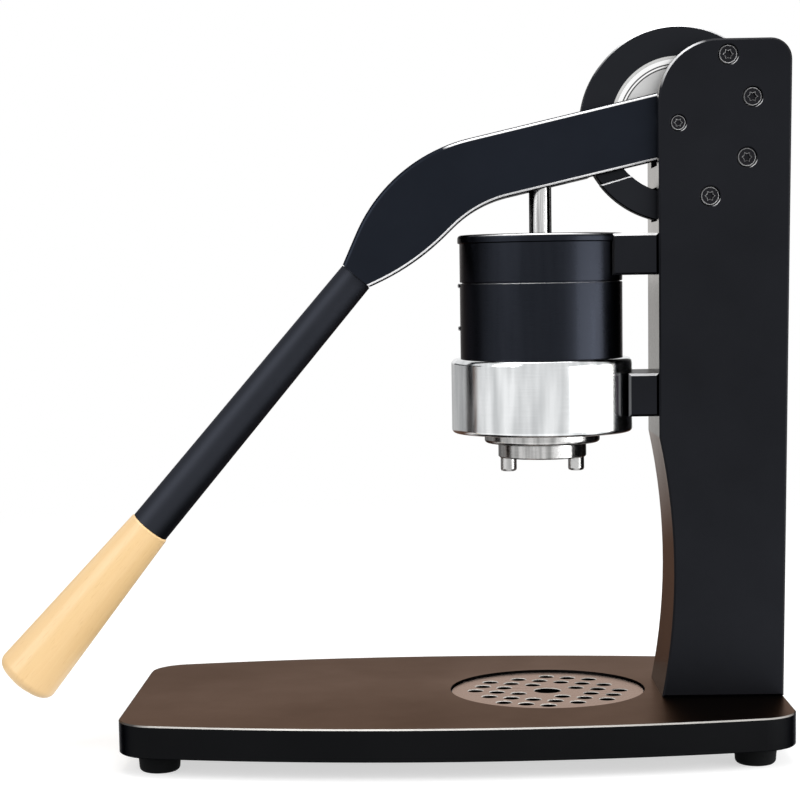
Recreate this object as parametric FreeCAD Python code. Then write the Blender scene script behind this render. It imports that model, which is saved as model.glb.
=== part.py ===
"""Lever espresso press, built as separate pieces and written as one STEP file per piece.

Millimetres, +Z up. The origin is on the table, under the middle of the whole footprint.
+X points from the grip to the column, and -Y is the side that faces the user.
Heights named H_... are measured from the top face of the base plate.
"""
import FreeCAD, Part
import math
import os

# ---------------------------------------------------------------- frame
BASE_X = 31.8                       # X of the middle of the base plate

# ---------------------------------------------------------------- base, feet, drip tray
BASE_LENGTH = 315.0
BASE_HALF_WIDTH = 90.5              # at the middle, where the long sides bow out most
BASE_BOW_RADIUS = 734.0
BASE_CORNER_RADIUS = 20.0
BASE_THICKNESS = 15.3
BASE_CHAMFER = 0.65
FOOT_HEIGHT = 9.0
FOOT_TOP_RADIUS = 10.0
FOOT_BOTTOM_RADIUS = 9.3
FOOT_EDGE_RADIUS = 2.2
FOOT_X = 138.5                      # feet stand at +-FOOT_X, +-FOOT_Y from the base's middle
FOOT_Y = 60.0
BASE_BOTTOM = FOOT_HEIGHT
BASE_TOP = BASE_BOTTOM + BASE_THICKNESS
BASE_RIGHT = BASE_X + BASE_LENGTH / 2

TRAY_X = BASE_X + 45.6
TRAY_RADIUS = 47.3                  # grate and cup flange
TRAY_GAP = 0.4
GRATE_SUNK = 1.2
GRATE_THICKNESS = 1.2
CUP_WALL = 0.8
CUP_RADIUS = 44.0
CUP_DEPTH = 9.6
HOLE_PITCH = 11.2
HOLE_RADIUS = 3.7
HOLE_SINK = 0.35                    # countersunk rim of every hole
HOLE_GRID_TURN = 20.7               # degrees
CENTRE_HOLE_RADIUS = 6.5

# ---------------------------------------------------------------- column
COLUMN_LEFT = BASE_X + 98.3
COLUMN_RIGHT = BASE_RIGHT           # at the base; the back face leans out a little
COLUMN_LEAN = 3.0                   # over the column's height
COLUMN_HEIGHT = 310.5
COLUMN_HALF_DEPTH = 25.5
PLATE_THICKNESS = 8.0
PLATE_INNER = COLUMN_HALF_DEPTH - PLATE_THICKNESS
PLATE_CHAMFER = 0.9
COLUMN_FRONT_RADIUS = 28.0
COLUMN_BACK_RADIUS = 10.0
WAIST_DEPTH = 6.9
WAIST_FOOT_DEPTH = 1.0
H_WAIST_MIDDLE = 60.0
H_WAIST_TOP = 125.0
COLUMN_BOLT_X = (BASE_X + 113.0, BASE_X + 145.0)
COLUMN_BOLT_Y = 9.0

# ---------------------------------------------------------------- pivot, bearing ring, journal
PIVOT_X = BASE_X + 109.4
PIVOT_Z = BASE_TOP + 273.3
AXLE_RADIUS = 6.5
AXLE_SINK = 2.0
AXLE_SCREW = (-1.9, -1.2)           # off the pivot, so that the screws also hold the axle still
BUSH_RADIUS = 8.5
FLANGE_RADIUS = 10.5
FLANGE_THICKNESS = 1.0
RUNNING_GAP = 0.05
PART_GAP = 0.3                      # between faces of pieces that move past each other

RING_RADIUS = 45.9
RING_BORE = 31.6                    # seat of the half-round bearing shell
RING_LOWER_BORE = 33.0              # free part of the bore below the shell
RING_BACK_BORE = 30.5               # where the ring is hidden between the column's plates
RING_BACK_ANGLES = (-88.0, 60.0)   # degrees, counted up from the column's side
RING_FRONT = -4.0
RING_BACK = 8.5
RING_CHAMFER = 0.6
RING_ROOM = 47.7                    # radius cleared in the core around ring and stop
STOP_RADIUS = 47.2
STOP_BORE = 33.8
STOP_DROP = 17.6                    # distance from the pivot to the lever stop's face
STOP_SLOPE = 15.9                   # degrees
STOP_END = 5.0                      # X reach of the stop beyond the pivot
STOP_CHAMFER = 0.6
RING_SCREWS = ((21.3, 29.9), (32.7, 10.3), (30.1, -17.6), (12.9, -35.3))
RING_THREAD = 2.12                  # radius at the root of the screws' thread
RING_THREAD_DEPTH = 6.0
SPACER_RADIUS = 6.5
NOSE_RADIUS = 32.4
NOSE_DROP = 18.1

SHELL_BORE = 30.25
SHELL_ANGLES = (68.0, 205.0)
JOURNAL_RADIUS = 30.2
JOURNAL_BOSS = 13.5                 # round the rear bush
JOURNAL_CHORD = -8.0                # the segment's straight edge, from the lever's line
JOURNAL_GROOVES = (28.1, 26.7)
GROOVE_WIDTH = 0.5
GROOVE_DEPTH = 0.6
JOURNAL_SCREWS = ((23.5, -2.0), (19.0, 10.5), (14.0, -3.0))

# ---------------------------------------------------------------- lever
LEVER_SLOPE = 12.5                  # degrees below level at rest
LEVER_RANGE = 48.0                  # degrees of swing from rest
LEVER_HALF_THICKNESS = 13.0
LEVER_EDGE_ROUND = 2.2
ARM_ABOVE = 15.8                    # top edge above the line through the pivot
ARM_BELOW = 15.2
ARM_ROOT = 16.5                     # reach of the round root beyond the pivot
ARM_ROOT_RADIUS = 15.2
ARM_TOP_BEND = (137.6, 78.0)        # place along the lever and radius of the bend
ARM_LOWER_BEND = (101.5, 55.0)
ARM_BELLY = (136.9, -36.7, 117.0)   # corner of the rounded belly before the tube, its radius
ARM_END_HALF = 8.3
ARM_RELIEF_RADIUS = 48.6
CHEEK_BACK = -4.3                   # rear face of the arm's thin root beside the ring

TUBE_START = (165.5, -34.8)         # along and across the lever
TUBE_TURN = 36.9                    # degrees, from the lever's line down to the tube's axis
TUBE_LENGTH = 158.9
TUBE_RADIUS_START = 8.45
TUBE_RADIUS_END = 9.85
TUBE_BORE = 6.0
TUBE_GROOVE = (0.7, 0.8)             # width and depth, where the tube meets the arm
STUD_RADIUS = 5.9
STUD_REACH = 24.0
GRIP_LENGTH = 100.3
GRIP_RADIUS_START = 10.4
GRIP_RADIUS_END = 15.6
GRIP_START_ROUND = 0.8
GRIP_END_ROUND = 5.0
GRIP_DOME = 2.4
INSERT_RADIUS = 5.85
INSERT_REACH = 40.0
INSERT_BACK = 30.0

# ---------------------------------------------------------------- piston and brew group
BREW_X = BASE_X + 44.1
PISTON_LIFT = (PIVOT_X - BREW_X) * math.radians(LEVER_RANGE)
PIN_DROP = 10.5                     # crosshead pin below the pivot at rest
PIN_RADIUS = 3.0
ROLLER_RADIUS = 4.5
ROLLER_WIDTH = 3.6
ROD_RADIUS = 5.4
ROD_THREAD = 4.0                    # radius of the threaded end under the piston
ROD_EYE_RADIUS = 7.0
EYE_HALF_WIDTH = 5.2
POCKET_HALF_WIDTH = 5.8
POCKET_REACH = 34.0                 # how far the pocket's cutter reaches below the pin
ROD_ROOM = 0.6
SLOT_FRONT = -9.9                   # blind end of the cam slot in the front cheek
SLOT_STEPS = 10

SLEEVE_RADIUS = 39.15
SLEEVE_BORE = 30.2
FUNNEL_BORE = 36.4
LIP_RADIUS = 40.1
H_LIP_TOP = 221.9
H_LIP_BOTTOM = 217.7
LIP_ROUND = 1.7
H_FUNNEL = (203.6, 206.0)           # foot and head of the funnel's sloping floor
H_SEAM = 199.3
SEAM_GAP = 0.4
SEAM_CHAMFER = 0.35
SPIGOT_RADIUS = 38.0                # of the lower sleeve, centres the upper one
SPIGOT_HEIGHT = 2.0
H_COLLAR_TOP = 162.8
H_COLLAR_BOTTOM = 126.9
COLLAR_RADIUS = 43.7
COLLAR_TOP_ROUND = 2.8
COLLAR_BOTTOM_ROUND = 2.0
COLLAR_BORE = 31.0
LINER_BORE = 27.0
LINER_RADIUS = 30.0
LINER_FOOT_RADIUS = 30.9
H_LINER_TOP = 217.0
H_LINER_BOTTOM = 154.5
H_FILL_NOTCH = 205.0                # water runs in through the notches above this height
NOTCH_COUNT = 6
NOTCH_ANGLE = 26.0
H_SCREEN = 153.0
SCREEN_THICKNESS = 1.2
SCREEN_RADIUS = 30.6
H_GASKET = 150.0
GASKET_BORE = 24.0

PISTON_RADIUS = 26.7
PISTON_HEIGHT = 14.0
H_PISTON = 155.5
NUT_FLATS = 13.0
NUT_ROOM = 8.2
SEAL_RADIUS = 26.95
SEAL_GROOVE = 24.6
SEAL_WIDTH = 2.6
SEAL_HEIGHTS = (2.6, 8.8)

NECK_RADIUS = 26.9
NECK_ROOM = 27.2
LUG_RADIUS = 30.2
LUG_ROOM = 30.6
LUG_ANGLE = 30.0
LUG_COUNT = 3
HOLDER_TWIST = 45.0
H_LUG = (131.3, 134.9)
H_NECK_TOP = 149.1
HOLDER_FLANGE_RADIUS = 27.95
H_HOLDER_BOTTOM = 121.8
BASKET_RADIUS = 25.2
BASKET_WALL = 0.6
H_BASKET = 129.5
SPOUT_BODY_RADIUS = 21.35
H_SPOUT_BODY = 114.7
SPOUT_SPACING = 32.8
SPOUT_RADIUS = 3.9
SPOUT_BORE = 2.2
H_SPOUT_TIP = 107.8

UPPER_BRACKET = (201.8, 221.3, BREW_X + 32.5)   # bottom, top, X of the left end
LOWER_BRACKET = (134.9, 155.3, BREW_X + 40.0)
BRACKET_HALF_DEPTH = 24.0
BRACKET_CHAMFER = 1.1
BRACKET_BOLT_Y = 10.0
BRACKET_BOLT_REACH = 6.9            # of the bolts from the column into the bracket
BRACKET_SCREW_SEATS = ((FUNNEL_BORE, 1.2, 8.5), (NECK_ROOM, 4.2, 16.0))   # bore, depth, shank
BRACKET_SCREW_HEAD_HEIGHT = 2.2
SLEEVE_PIN_HEIGHTS = (197.8, 177.3)
SLEEVE_PIN_RADIUS = 1.05
SLEEVE_PIN_PROUD = 1.0
SLEEVE_PIN_SHANK = 0.8

# ---------------------------------------------------------------- screws (radii and heights)
M4_SHANK, M4_TAP, M4_HOLE = 2.0, 2.05, 2.1
M4_HEAD, M4_HEAD_ROOM, M4_HEAD_HEIGHT = 3.5, 3.8, 4.0
M5_SHANK, M5_HOLE = 2.5, 2.65
M5_HEAD, M5_HEAD_ROOM, M5_HEAD_HEIGHT = 4.2, 4.75, 4.7
M6_SHANK, M6_TAP, M6_HOLE = 3.0, 3.05, 3.1
M6_HEAD, M6_HEAD_ROOM, M6_HEAD_HEIGHT = 5.0, 5.4, 6.0
HEAD_SINK = 0.4                     # how far heads stay below the face around them
HEAD_CHAMFER = 0.1                  # share of the head's radius
HOLE_CHAMFER = 0.35                 # round the mouth of every counterbore
SOCKET_CHAMFER = 0.4
SOCKET_WAIST = 0.68                 # inner corners of the six-pointed socket, share of its radius
RING_HEAD_SINK = 0.5
AXLE_HEAD, AXLE_HEAD_ROOM, AXLE_HEAD_HEIGHT = 3.35, 3.85, 3.6
FOOT_SCREW_Z = 1.6                  # outer face of the head, inside the foot
FOOT_SCREW_HEAD_HEIGHT = 3.0
FIT_GAP = 0.02                      # round parts that sit tight in a bore


# ---------------------------------------------------------------- shape helpers
def vec(x, y, z):
    return FreeCAD.Vector(x, y, z)


UP = vec(0, 0, 1)
DOWN = vec(0, 0, -1)


def rod_between(radius, start, end):
    """Round bar from start to end."""
    along = end - start
    return Part.makeCylinder(radius, along.Length, start, along)


def disc_z(radius, low, high, x=0.0, y=0.0):
    return rod_between(radius, vec(x, y, low), vec(x, y, high))


def disc_y(radius, front, back, x, z):
    return rod_between(radius, vec(x, front, z), vec(x, back, z))


def ring_z(outer, inner, low, high, x=0.0, y=0.0):
    return disc_z(outer, low, high, x, y).cut(disc_z(inner, low - 1, high + 1, x, y))


def block(x_low, x_high, y_low, y_high, z_low, z_high):
    return Part.makeBox(x_high - x_low, y_high - y_low, z_high - z_low, vec(x_low, y_low, z_low))


def turned(profile, x=0.0, y=0.0):
    """Solid of revolution about a vertical axis; profile is a list of (radius, z) corners."""
    points = [vec(x + radius, y, z) for radius, z in profile]
    face = Part.Face(Part.makePolygon(points + points[:1]))
    return face.revolve(vec(x, y, 0), UP, 360)


def extruded_y(edges, front, back):
    """Prism of a closed outline that lies in the XZ plane, from y = front to y = back."""
    face = Part.Face(Part.Wire(edges))
    face.translate(vec(0, front, 0))
    return face.extrude(vec(0, back - front, 0))


def polygon_y(points, front, back):
    corners = [vec(x, 0, z) for x, z in points]
    return extruded_y(Part.makePolygon(corners + corners[:1]).Edges, front, back)


def line(start, end):
    return Part.LineSegment(start, end).toShape()


def arc(start, middle, end):
    return Part.Arc(start, middle, end).toShape()


def rounded_outline(corners):
    """Edges of a closed outline; each corner is (point, radius), a radius of 0 stays sharp."""
    ends = []
    for index, (point, radius) in enumerate(corners):
        before = (corners[index - 1][0] - point).normalize()
        after = (corners[(index + 1) % len(corners)][0] - point).normalize()
        half_angle = before.getAngle(after) / 2
        setback = radius / math.tan(half_angle)
        reach = radius / math.sin(half_angle) - radius
        middle = point + (before + after).normalize() * reach
        ends.append((point + before * setback, middle, point + after * setback))
    edges = []
    for index, (start, middle, end) in enumerate(ends):
        if corners[index][1] > 0:
            edges.append(arc(start, middle, end))
        edges.append(line(end, ends[(index + 1) % len(ends)][0]))
    return edges


def placed(shape, point, direction):
    """Copy of a shape made at the origin along +Z, moved to point and turned to direction."""
    copy = shape.copy()
    copy.Placement = FreeCAD.Placement(point, FreeCAD.Rotation(UP, direction))
    return copy


def outline_edges(solid, axis, level):
    """Outer edges of the flat face that lies at the given level along an axis."""
    face = next(f for f in solid.Faces
                if abs(f.BoundBox.Center.dot(axis) - level) < 1e-6
                and max(f.BoundBox.XLength * abs(axis.x), f.BoundBox.YLength * abs(axis.y),
                        f.BoundBox.ZLength * abs(axis.z)) < 1e-6)
    return face.OuterWire.Edges


def chamfer_outline(solid, size, axis, level):
    return solid.makeChamfer(size, outline_edges(solid, axis, level))


def star_outline(radius, level):
    """Outline of a six-pointed socket, level with the XY plane."""
    points = []
    for index in range(12):
        reach = radius if index % 2 == 0 else radius * SOCKET_WAIST
        angle = math.radians(30 * index)
        points.append(vec(reach * math.cos(angle), reach * math.sin(angle), level))
    return Part.makePolygon(points + points[:1])


def star_socket(radius, depth):
    """Socket in a head whose top lies at zero, with a chamfered mouth."""
    wide = radius + SOCKET_CHAMFER
    above = Part.Face(star_outline(wide, 0)).extrude(vec(0, 0, 1))
    mouth = Part.makeLoft([star_outline(wide, 0), star_outline(radius, -SOCKET_CHAMFER)],
                          True, True)
    shaft = Part.Face(star_outline(radius, -SOCKET_CHAMFER))
    return above.fuse([mouth, shaft.extrude(vec(0, 0, SOCKET_CHAMFER - depth))])


def cap_screw(point, direction, head_radius, head_height, shank_radius, shank_length):
    """Socket screw: point is the middle of the head's outer face, direction points out of it."""
    head = disc_z(head_radius, -head_height, 0)
    head = chamfer_outline(head, head_radius * HEAD_CHAMFER, UP, 0)
    shank = disc_z(shank_radius, -head_height - shank_length, -head_height)
    socket = star_socket(head_radius * 0.5, head_height * 0.5)
    return placed(head.fuse(shank).removeSplitter().cut(socket), point, direction)


def screw_hole(point, direction, head_room, head_depth, hole_radius, hole_depth):
    """Counterbore and hole for a screw whose seat starts at point and goes against direction."""
    counterbore = disc_z(head_room, -head_depth, 1)
    mouth = Part.makeCone(head_room, head_room + 2 * HOLE_CHAMFER, 2 * HOLE_CHAMFER,
                          vec(0, 0, -HOLE_CHAMFER), UP)
    hole = disc_z(hole_radius, -head_depth - hole_depth, 0)
    return placed(counterbore.fuse([mouth, hole]), point, direction)


# ---------------------------------------------------------------- lever geometry
def lever_frame():
    """Unit vectors along the lever (towards the grip) and across it (upwards), at rest."""
    slope = math.radians(LEVER_SLOPE)
    along = vec(-math.cos(slope), 0, -math.sin(slope))
    across = vec(-math.sin(slope), 0, math.cos(slope))
    return along, across


def lever_point(u, w, y=0.0):
    """Point u along and w across the lever's line through the pivot."""
    along, across = lever_frame()
    return vec(PIVOT_X, y, PIVOT_Z) + along * u + across * w


def tube_axis():
    slope = math.radians(LEVER_SLOPE + TUBE_TURN)
    return vec(-math.cos(slope), 0, -math.sin(slope))


def swung_back(point, swing):
    """Where a point lies in the resting lever's frame when the lever has swung up."""
    pivot = vec(PIVOT_X, 0, PIVOT_Z)
    return pivot + FreeCAD.Rotation(vec(0, 1, 0), -swing).multVec(point - pivot)


def pin_places():
    """Crosshead pin seen from the lever, as pairs of swing and place.

    The pin rises straight up by the same amount per degree, so its line in the lever is an
    involute, and the slot always pushes along the piston rod.
    """
    places = []
    for step in range(SLOT_STEPS + 1):
        share = step / SLOT_STEPS
        pin = vec(BREW_X, 0, pin_height() + PISTON_LIFT * share)
        places.append((LEVER_RANGE * share, swung_back(pin, LEVER_RANGE * share)))
    return places


def cam_slot(half_width, front, back):
    """Slot with round ends that follows the pin."""
    path = Part.makePolygon([place for _, place in pin_places()])
    face = Part.Face(path.makeOffset2D(half_width))
    face.translate(vec(0, front, 0))
    return face.extrude(vec(0, back - front, 0))


# ---------------------------------------------------------------- base, feet, tray
def base_plate():
    half = BASE_LENGTH / 2
    end = BASE_HALF_WIDTH - (BASE_BOW_RADIUS - math.sqrt(BASE_BOW_RADIUS ** 2 - half ** 2))
    corners = [vec(BASE_X + sx * half, sy * end, BASE_BOTTOM)
               for sx, sy in ((-1, -1), (1, -1), (1, 1), (-1, 1))]
    front_middle = vec(BASE_X, -BASE_HALF_WIDTH, BASE_BOTTOM)
    back_middle = vec(BASE_X, BASE_HALF_WIDTH, BASE_BOTTOM)
    outline = Part.Wire([arc(corners[0], front_middle, corners[1]), line(corners[1], corners[2]),
                         arc(corners[2], back_middle, corners[3]), line(corners[3], corners[0])])
    plate = Part.Face(outline).extrude(vec(0, 0, BASE_THICKNESS))
    uprights = [e for e in plate.Edges if e.BoundBox.ZLength > BASE_THICKNESS - 0.01]
    plate = plate.makeFillet(BASE_CORNER_RADIUS, uprights)
    plate = chamfer_outline(plate, BASE_CHAMFER, UP, BASE_TOP)
    plate = chamfer_outline(plate, BASE_CHAMFER / 2, UP, BASE_BOTTOM)
    ledge = BASE_TOP - GRATE_SUNK - GRATE_THICKNESS - CUP_WALL
    plate = plate.cut(disc_z(TRAY_RADIUS + TRAY_GAP, ledge, BASE_TOP + 1, TRAY_X))
    cup_room = CUP_RADIUS + TRAY_GAP
    plate = plate.cut(disc_z(cup_room, ledge - CUP_DEPTH - TRAY_GAP, ledge + 1, TRAY_X))
    for x, y in foot_places():
        plate = plate.cut(disc_z(M4_TAP, BASE_BOTTOM - 1, BASE_BOTTOM + 9.5, x, y))
    for x, y in column_bolt_places():
        plate = plate.cut(screw_hole(vec(x, y, BASE_BOTTOM), DOWN, M6_HEAD_ROOM,
                                     HEAD_SINK + M6_HEAD_HEIGHT, M6_HOLE, 20))
    return plate


def foot_places():
    return [(BASE_X + sx * FOOT_X, sy * FOOT_Y) for sx in (-1, 1) for sy in (-1, 1)]


def column_bolt_places():
    return [(x, sy * COLUMN_BOLT_Y) for x in COLUMN_BOLT_X for sy in (-1, 1)]


def rubber_foot(x, y):
    foot = Part.makeCone(FOOT_BOTTOM_RADIUS, FOOT_TOP_RADIUS, FOOT_HEIGHT, vec(x, y, 0), UP)
    rim = [e for e in foot.Edges if e.BoundBox.ZMax < 0.01]
    foot = foot.makeFillet(FOOT_EDGE_RADIUS, rim)
    seat = FOOT_SCREW_Z + FOOT_SCREW_HEAD_HEIGHT
    foot = foot.cut(disc_z(M4_HEAD_ROOM, -1, seat, x, y))
    return foot.cut(disc_z(M4_HOLE, seat - 1, FOOT_HEIGHT + 1, x, y))


def foot_screws():
    return [cap_screw(vec(x, y, FOOT_SCREW_Z), DOWN, M4_HEAD, FOOT_SCREW_HEAD_HEIGHT,
                      M4_SHANK, 13.0) for x, y in foot_places()]


def drip_cup():
    flange_top = BASE_TOP - GRATE_SUNK - GRATE_THICKNESS
    flange = flange_top - CUP_WALL
    floor = flange - CUP_DEPTH
    profile = [(0, floor), (CUP_RADIUS, floor), (CUP_RADIUS, flange), (TRAY_RADIUS, flange),
               (TRAY_RADIUS, flange_top), (CUP_RADIUS - CUP_WALL, flange_top),
               (CUP_RADIUS - CUP_WALL, floor + CUP_WALL), (0, floor + CUP_WALL)]
    return turned(profile, TRAY_X)


def grate_holes():
    """Centres of the small holes: a square grid, turned, without its middle and its corners."""
    turn = math.radians(HOLE_GRID_TURN)
    reach = {0: (2, 3), 1: (1, 2, 3), 2: (0, 1, 2), 3: (0, 1)}
    centres = []
    for row in range(-3, 4):
        for column in range(-3, 4):
            if abs(column) in reach[abs(row)]:
                dx, dy = column * HOLE_PITCH, -row * HOLE_PITCH
                centres.append((TRAY_X + dx * math.cos(turn) + dy * math.sin(turn),
                                -dx * math.sin(turn) + dy * math.cos(turn)))
    return centres


def drain_hole(radius, x, y):
    top = BASE_TOP - GRATE_SUNK
    rim = Part.makeCone(radius, radius + 2 * HOLE_SINK, 2 * HOLE_SINK,
                        vec(x, y, top - HOLE_SINK), UP)
    return disc_z(radius, top - GRATE_THICKNESS - 1, top + 1, x, y).fuse(rim)


def drip_grate():
    top = BASE_TOP - GRATE_SUNK
    plate = disc_z(TRAY_RADIUS, top - GRATE_THICKNESS, top, TRAY_X)
    plate = chamfer_outline(plate, 0.4, UP, top)
    drills = [drain_hole(HOLE_RADIUS, x, y) for x, y in grate_holes()]
    drills.append(drain_hole(CENTRE_HOLE_RADIUS, TRAY_X, 0))
    return plate.cut(Part.makeCompound(drills))


# ---------------------------------------------------------------- column
def column_outline():
    """Outline of the column in the XZ plane, with its hollowed waist over the base."""
    top = BASE_TOP + COLUMN_HEIGHT
    left, right = COLUMN_LEFT, COLUMN_RIGHT + COLUMN_LEAN
    r_front, r_back = COLUMN_FRONT_RADIUS, COLUMN_BACK_RADIUS
    slant = math.sqrt(0.5)
    foot = vec(left + WAIST_FOOT_DEPTH, 0, BASE_TOP)
    waist = vec(left + WAIST_DEPTH, 0, BASE_TOP + H_WAIST_MIDDLE)
    waist_top = vec(left, 0, BASE_TOP + H_WAIST_TOP)
    front_low = vec(left, 0, top - r_front)
    front_mid = vec(left + r_front * (1 - slant), 0, top - r_front * (1 - slant))
    front_high = vec(left + r_front, 0, top)
    back_high = vec(right - r_back, 0, top)
    back_mid = vec(right - r_back * (1 - slant), 0, top - r_back * (1 - slant))
    back_low = vec(right, 0, top - r_back)
    heel = vec(COLUMN_RIGHT, 0, BASE_TOP)
    return [arc(foot, waist, waist_top), line(waist_top, front_low),
            arc(front_low, front_mid, front_high), line(front_high, back_high),
            arc(back_high, back_mid, back_low), line(back_low, heel), line(heel, foot)]


def ring_screw_points(y):
    return [vec(PIVOT_X + dx, y, PIVOT_Z + dz) for dx, dz in RING_SCREWS]


def axle_screw_point(y):
    return vec(PIVOT_X + AXLE_SCREW[0], y, PIVOT_Z + AXLE_SCREW[1])


def column_plate(side):
    """Side plate; side is -1 for the front plate and +1 for the rear plate."""
    inner, outer = side * PLATE_INNER, side * COLUMN_HALF_DEPTH
    plate = extruded_y(column_outline(), min(inner, outer), max(inner, outer))
    plate = chamfer_outline(plate, PLATE_CHAMFER, vec(0, 1, 0), outer)
    outward = vec(0, side, 0)
    for point in ring_screw_points(outer):
        plate = plate.cut(screw_hole(point, outward, M5_HEAD_ROOM,
                                     RING_HEAD_SINK + M5_HEAD_HEIGHT, M5_HOLE, 10))
    plate = plate.cut(screw_hole(axle_screw_point(outer), outward, AXLE_HEAD_ROOM,
                                 HEAD_SINK + AXLE_HEAD_HEIGHT, M4_HOLE, 10))
    socket = sorted((inner + side * AXLE_SINK, inner - side))
    return plate.cut(disc_y(AXLE_RADIUS + FIT_GAP, socket[0], socket[1], PIVOT_X, PIVOT_Z))


def column_core():
    """Core between the plates: room for ring and lever in front, a full back wall, a nose."""
    core = extruded_y(column_outline(), -PLATE_INNER, PLATE_INNER)
    core = core.cut(disc_y(RING_ROOM, -PLATE_INNER - 1, RING_BACK, PIVOT_X, PIVOT_Z))
    nose = disc_y(NOSE_RADIUS, -PLATE_INNER, RING_BACK + 1, PIVOT_X, PIVOT_Z)
    nose = nose.common(polygon_y([
        (COLUMN_LEFT, PIVOT_Z - NOSE_RADIUS),
        (PIVOT_X, PIVOT_Z - NOSE_RADIUS),
        (PIVOT_X, PIVOT_Z - NOSE_DROP),
        (COLUMN_LEFT, PIVOT_Z - NOSE_DROP
         - (PIVOT_X - COLUMN_LEFT) * math.tan(math.radians(LEVER_SLOPE)))],
        -PLATE_INNER, RING_BACK + 1))
    core = core.fuse(nose).removeSplitter()
    core = core.cut(disc_y(AXLE_RADIUS + RUNNING_GAP, 0, 20, PIVOT_X, PIVOT_Z))
    for point in ring_screw_points(0):
        core = core.cut(disc_y(M5_HOLE, 0, 20, point.x, point.z))
    for x, y in column_bolt_places():
        core = core.cut(disc_z(M6_TAP, BASE_TOP - 1, BASE_TOP + 22, x, y))
    for point in bracket_bolt_points():
        core = core.cut(screw_hole(point, vec(1, 0, 0), M6_HEAD_ROOM,
                                   HEAD_SINK + M6_HEAD_HEIGHT, M6_HOLE, 80))
    return core


def column_bolts():
    return [cap_screw(vec(x, y, BASE_BOTTOM + HEAD_SINK), DOWN, M6_HEAD, M6_HEAD_HEIGHT,
                      M6_SHANK, 26.0) for x, y in column_bolt_places()]


def sector_y(radius, front, back, angles):
    """Sector of a disc about the pivot, between two angles counted up from +X."""
    sector_disc = Part.makeCylinder(radius, back - front, vec(0, 0, 0), UP, angles[1] - angles[0])
    sector_disc.rotate(vec(0, 0, 0), UP, angles[0])
    sector_disc.rotate(vec(0, 0, 0), vec(1, 0, 0), 90)
    sector_disc.translate(vec(PIVOT_X, back, PIVOT_Z))
    return sector_disc


def bearing_ring():
    """Ring that takes the lever's upward push, with the lever's stop in front of its lower part."""
    ring = disc_y(RING_RADIUS, RING_FRONT, RING_BACK, PIVOT_X, PIVOT_Z)
    ring = chamfer_outline(ring, RING_CHAMFER, vec(0, 1, 0), RING_FRONT)
    slope = math.tan(math.radians(STOP_SLOPE))
    drop = STOP_DROP / math.cos(math.radians(STOP_SLOPE))
    far = -RING_RADIUS - 5
    low = PIVOT_Z - RING_RADIUS - 5
    stop = polygon_y([(PIVOT_X + far, low), (PIVOT_X + STOP_END, low),
                      (PIVOT_X + STOP_END, PIVOT_Z - drop + STOP_END * slope),
                      (PIVOT_X + far, PIVOT_Z - drop + far * slope)],
                     -LEVER_HALF_THICKNESS, RING_FRONT)
    slope_edge = [e for e in stop.Edges if e.BoundBox.ZMin > low + 1
                  and e.BoundBox.YMax < -LEVER_HALF_THICKNESS + 0.01]
    stop = stop.makeChamfer(STOP_CHAMFER, slope_edge)
    stop_disc = disc_y(STOP_RADIUS, -LEVER_HALF_THICKNESS, RING_FRONT + 1, PIVOT_X, PIVOT_Z)
    stop_disc = chamfer_outline(stop_disc, RING_CHAMFER, vec(0, 1, 0), -LEVER_HALF_THICKNESS)
    bore = disc_y(RING_BORE, -20, 20, PIVOT_X, PIVOT_Z)
    bore = bore.fuse(sector_y(RING_LOWER_BORE, -20, 20,
                              (SHELL_ANGLES[1], 360 + RING_BACK_ANGLES[0])))
    hidden = sector_y(RING_BORE, -20, 20, RING_BACK_ANGLES)
    hidden = hidden.cut(disc_y(RING_BACK_BORE, -21, 21, PIVOT_X, PIVOT_Z))
    stop = stop.common(stop_disc).cut(disc_y(STOP_BORE, -20, RING_FRONT, PIVOT_X, PIVOT_Z))
    ring = ring.cut(bore.cut(hidden)).fuse(stop.cut(bore))
    for point in ring_screw_points(0):
        ring = ring.cut(disc_y(RING_THREAD, -20, 20, point.x, point.z))
    return ring


def bearing_shell():
    """Half-round steel shell in the ring's upper bore, in which the journal turns."""
    shell = sector_y(RING_BORE, RING_FRONT - 0.3, RING_BACK, SHELL_ANGLES)
    return shell.cut(disc_y(SHELL_BORE, -20, 20, PIVOT_X, PIVOT_Z))


def ring_screws(side):
    """Four screws through one plate into the ring; the front ones also pass the spacers."""
    outer = side * (COLUMN_HALF_DEPTH - RING_HEAD_SINK)
    face = RING_FRONT if side < 0 else RING_BACK
    shank = abs(outer - face) - M5_HEAD_HEIGHT
    screws = []
    for point in ring_screw_points(outer):
        screw = cap_screw(point, vec(0, side, 0), M5_HEAD, M5_HEAD_HEIGHT, M5_SHANK, shank)
        end = sorted((face, face - side * RING_THREAD_DEPTH))
        thread = disc_y(RING_THREAD - FIT_GAP, end[0], end[1], point.x, point.z)
        screws.append(screw.fuse(thread).removeSplitter())
    return screws


def ring_spacers():
    """Spacers between front plate and ring, relieved where the journal turns beside them."""
    relief = disc_y(RING_BACK_BORE, CHEEK_BACK - PART_GAP, RING_FRONT, PIVOT_X, PIVOT_Z)
    spacers = []
    for point in ring_screw_points(0):
        spacer = disc_y(SPACER_RADIUS, -PLATE_INNER, RING_FRONT, point.x, point.z)
        spacers.append(spacer.cut([disc_y(M5_HOLE, -20, 0, point.x, point.z), relief]))
    return spacers


def pivot_axle():
    end = PLATE_INNER + AXLE_SINK
    axle = disc_y(AXLE_RADIUS, -end, end, PIVOT_X, PIVOT_Z)
    for side in (-1, 1):
        tap = rod_between(M4_TAP, axle_screw_point(side * (end - 11)),
                          axle_screw_point(side * (end + 1)))
        axle = axle.cut(tap)
    return axle


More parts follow.
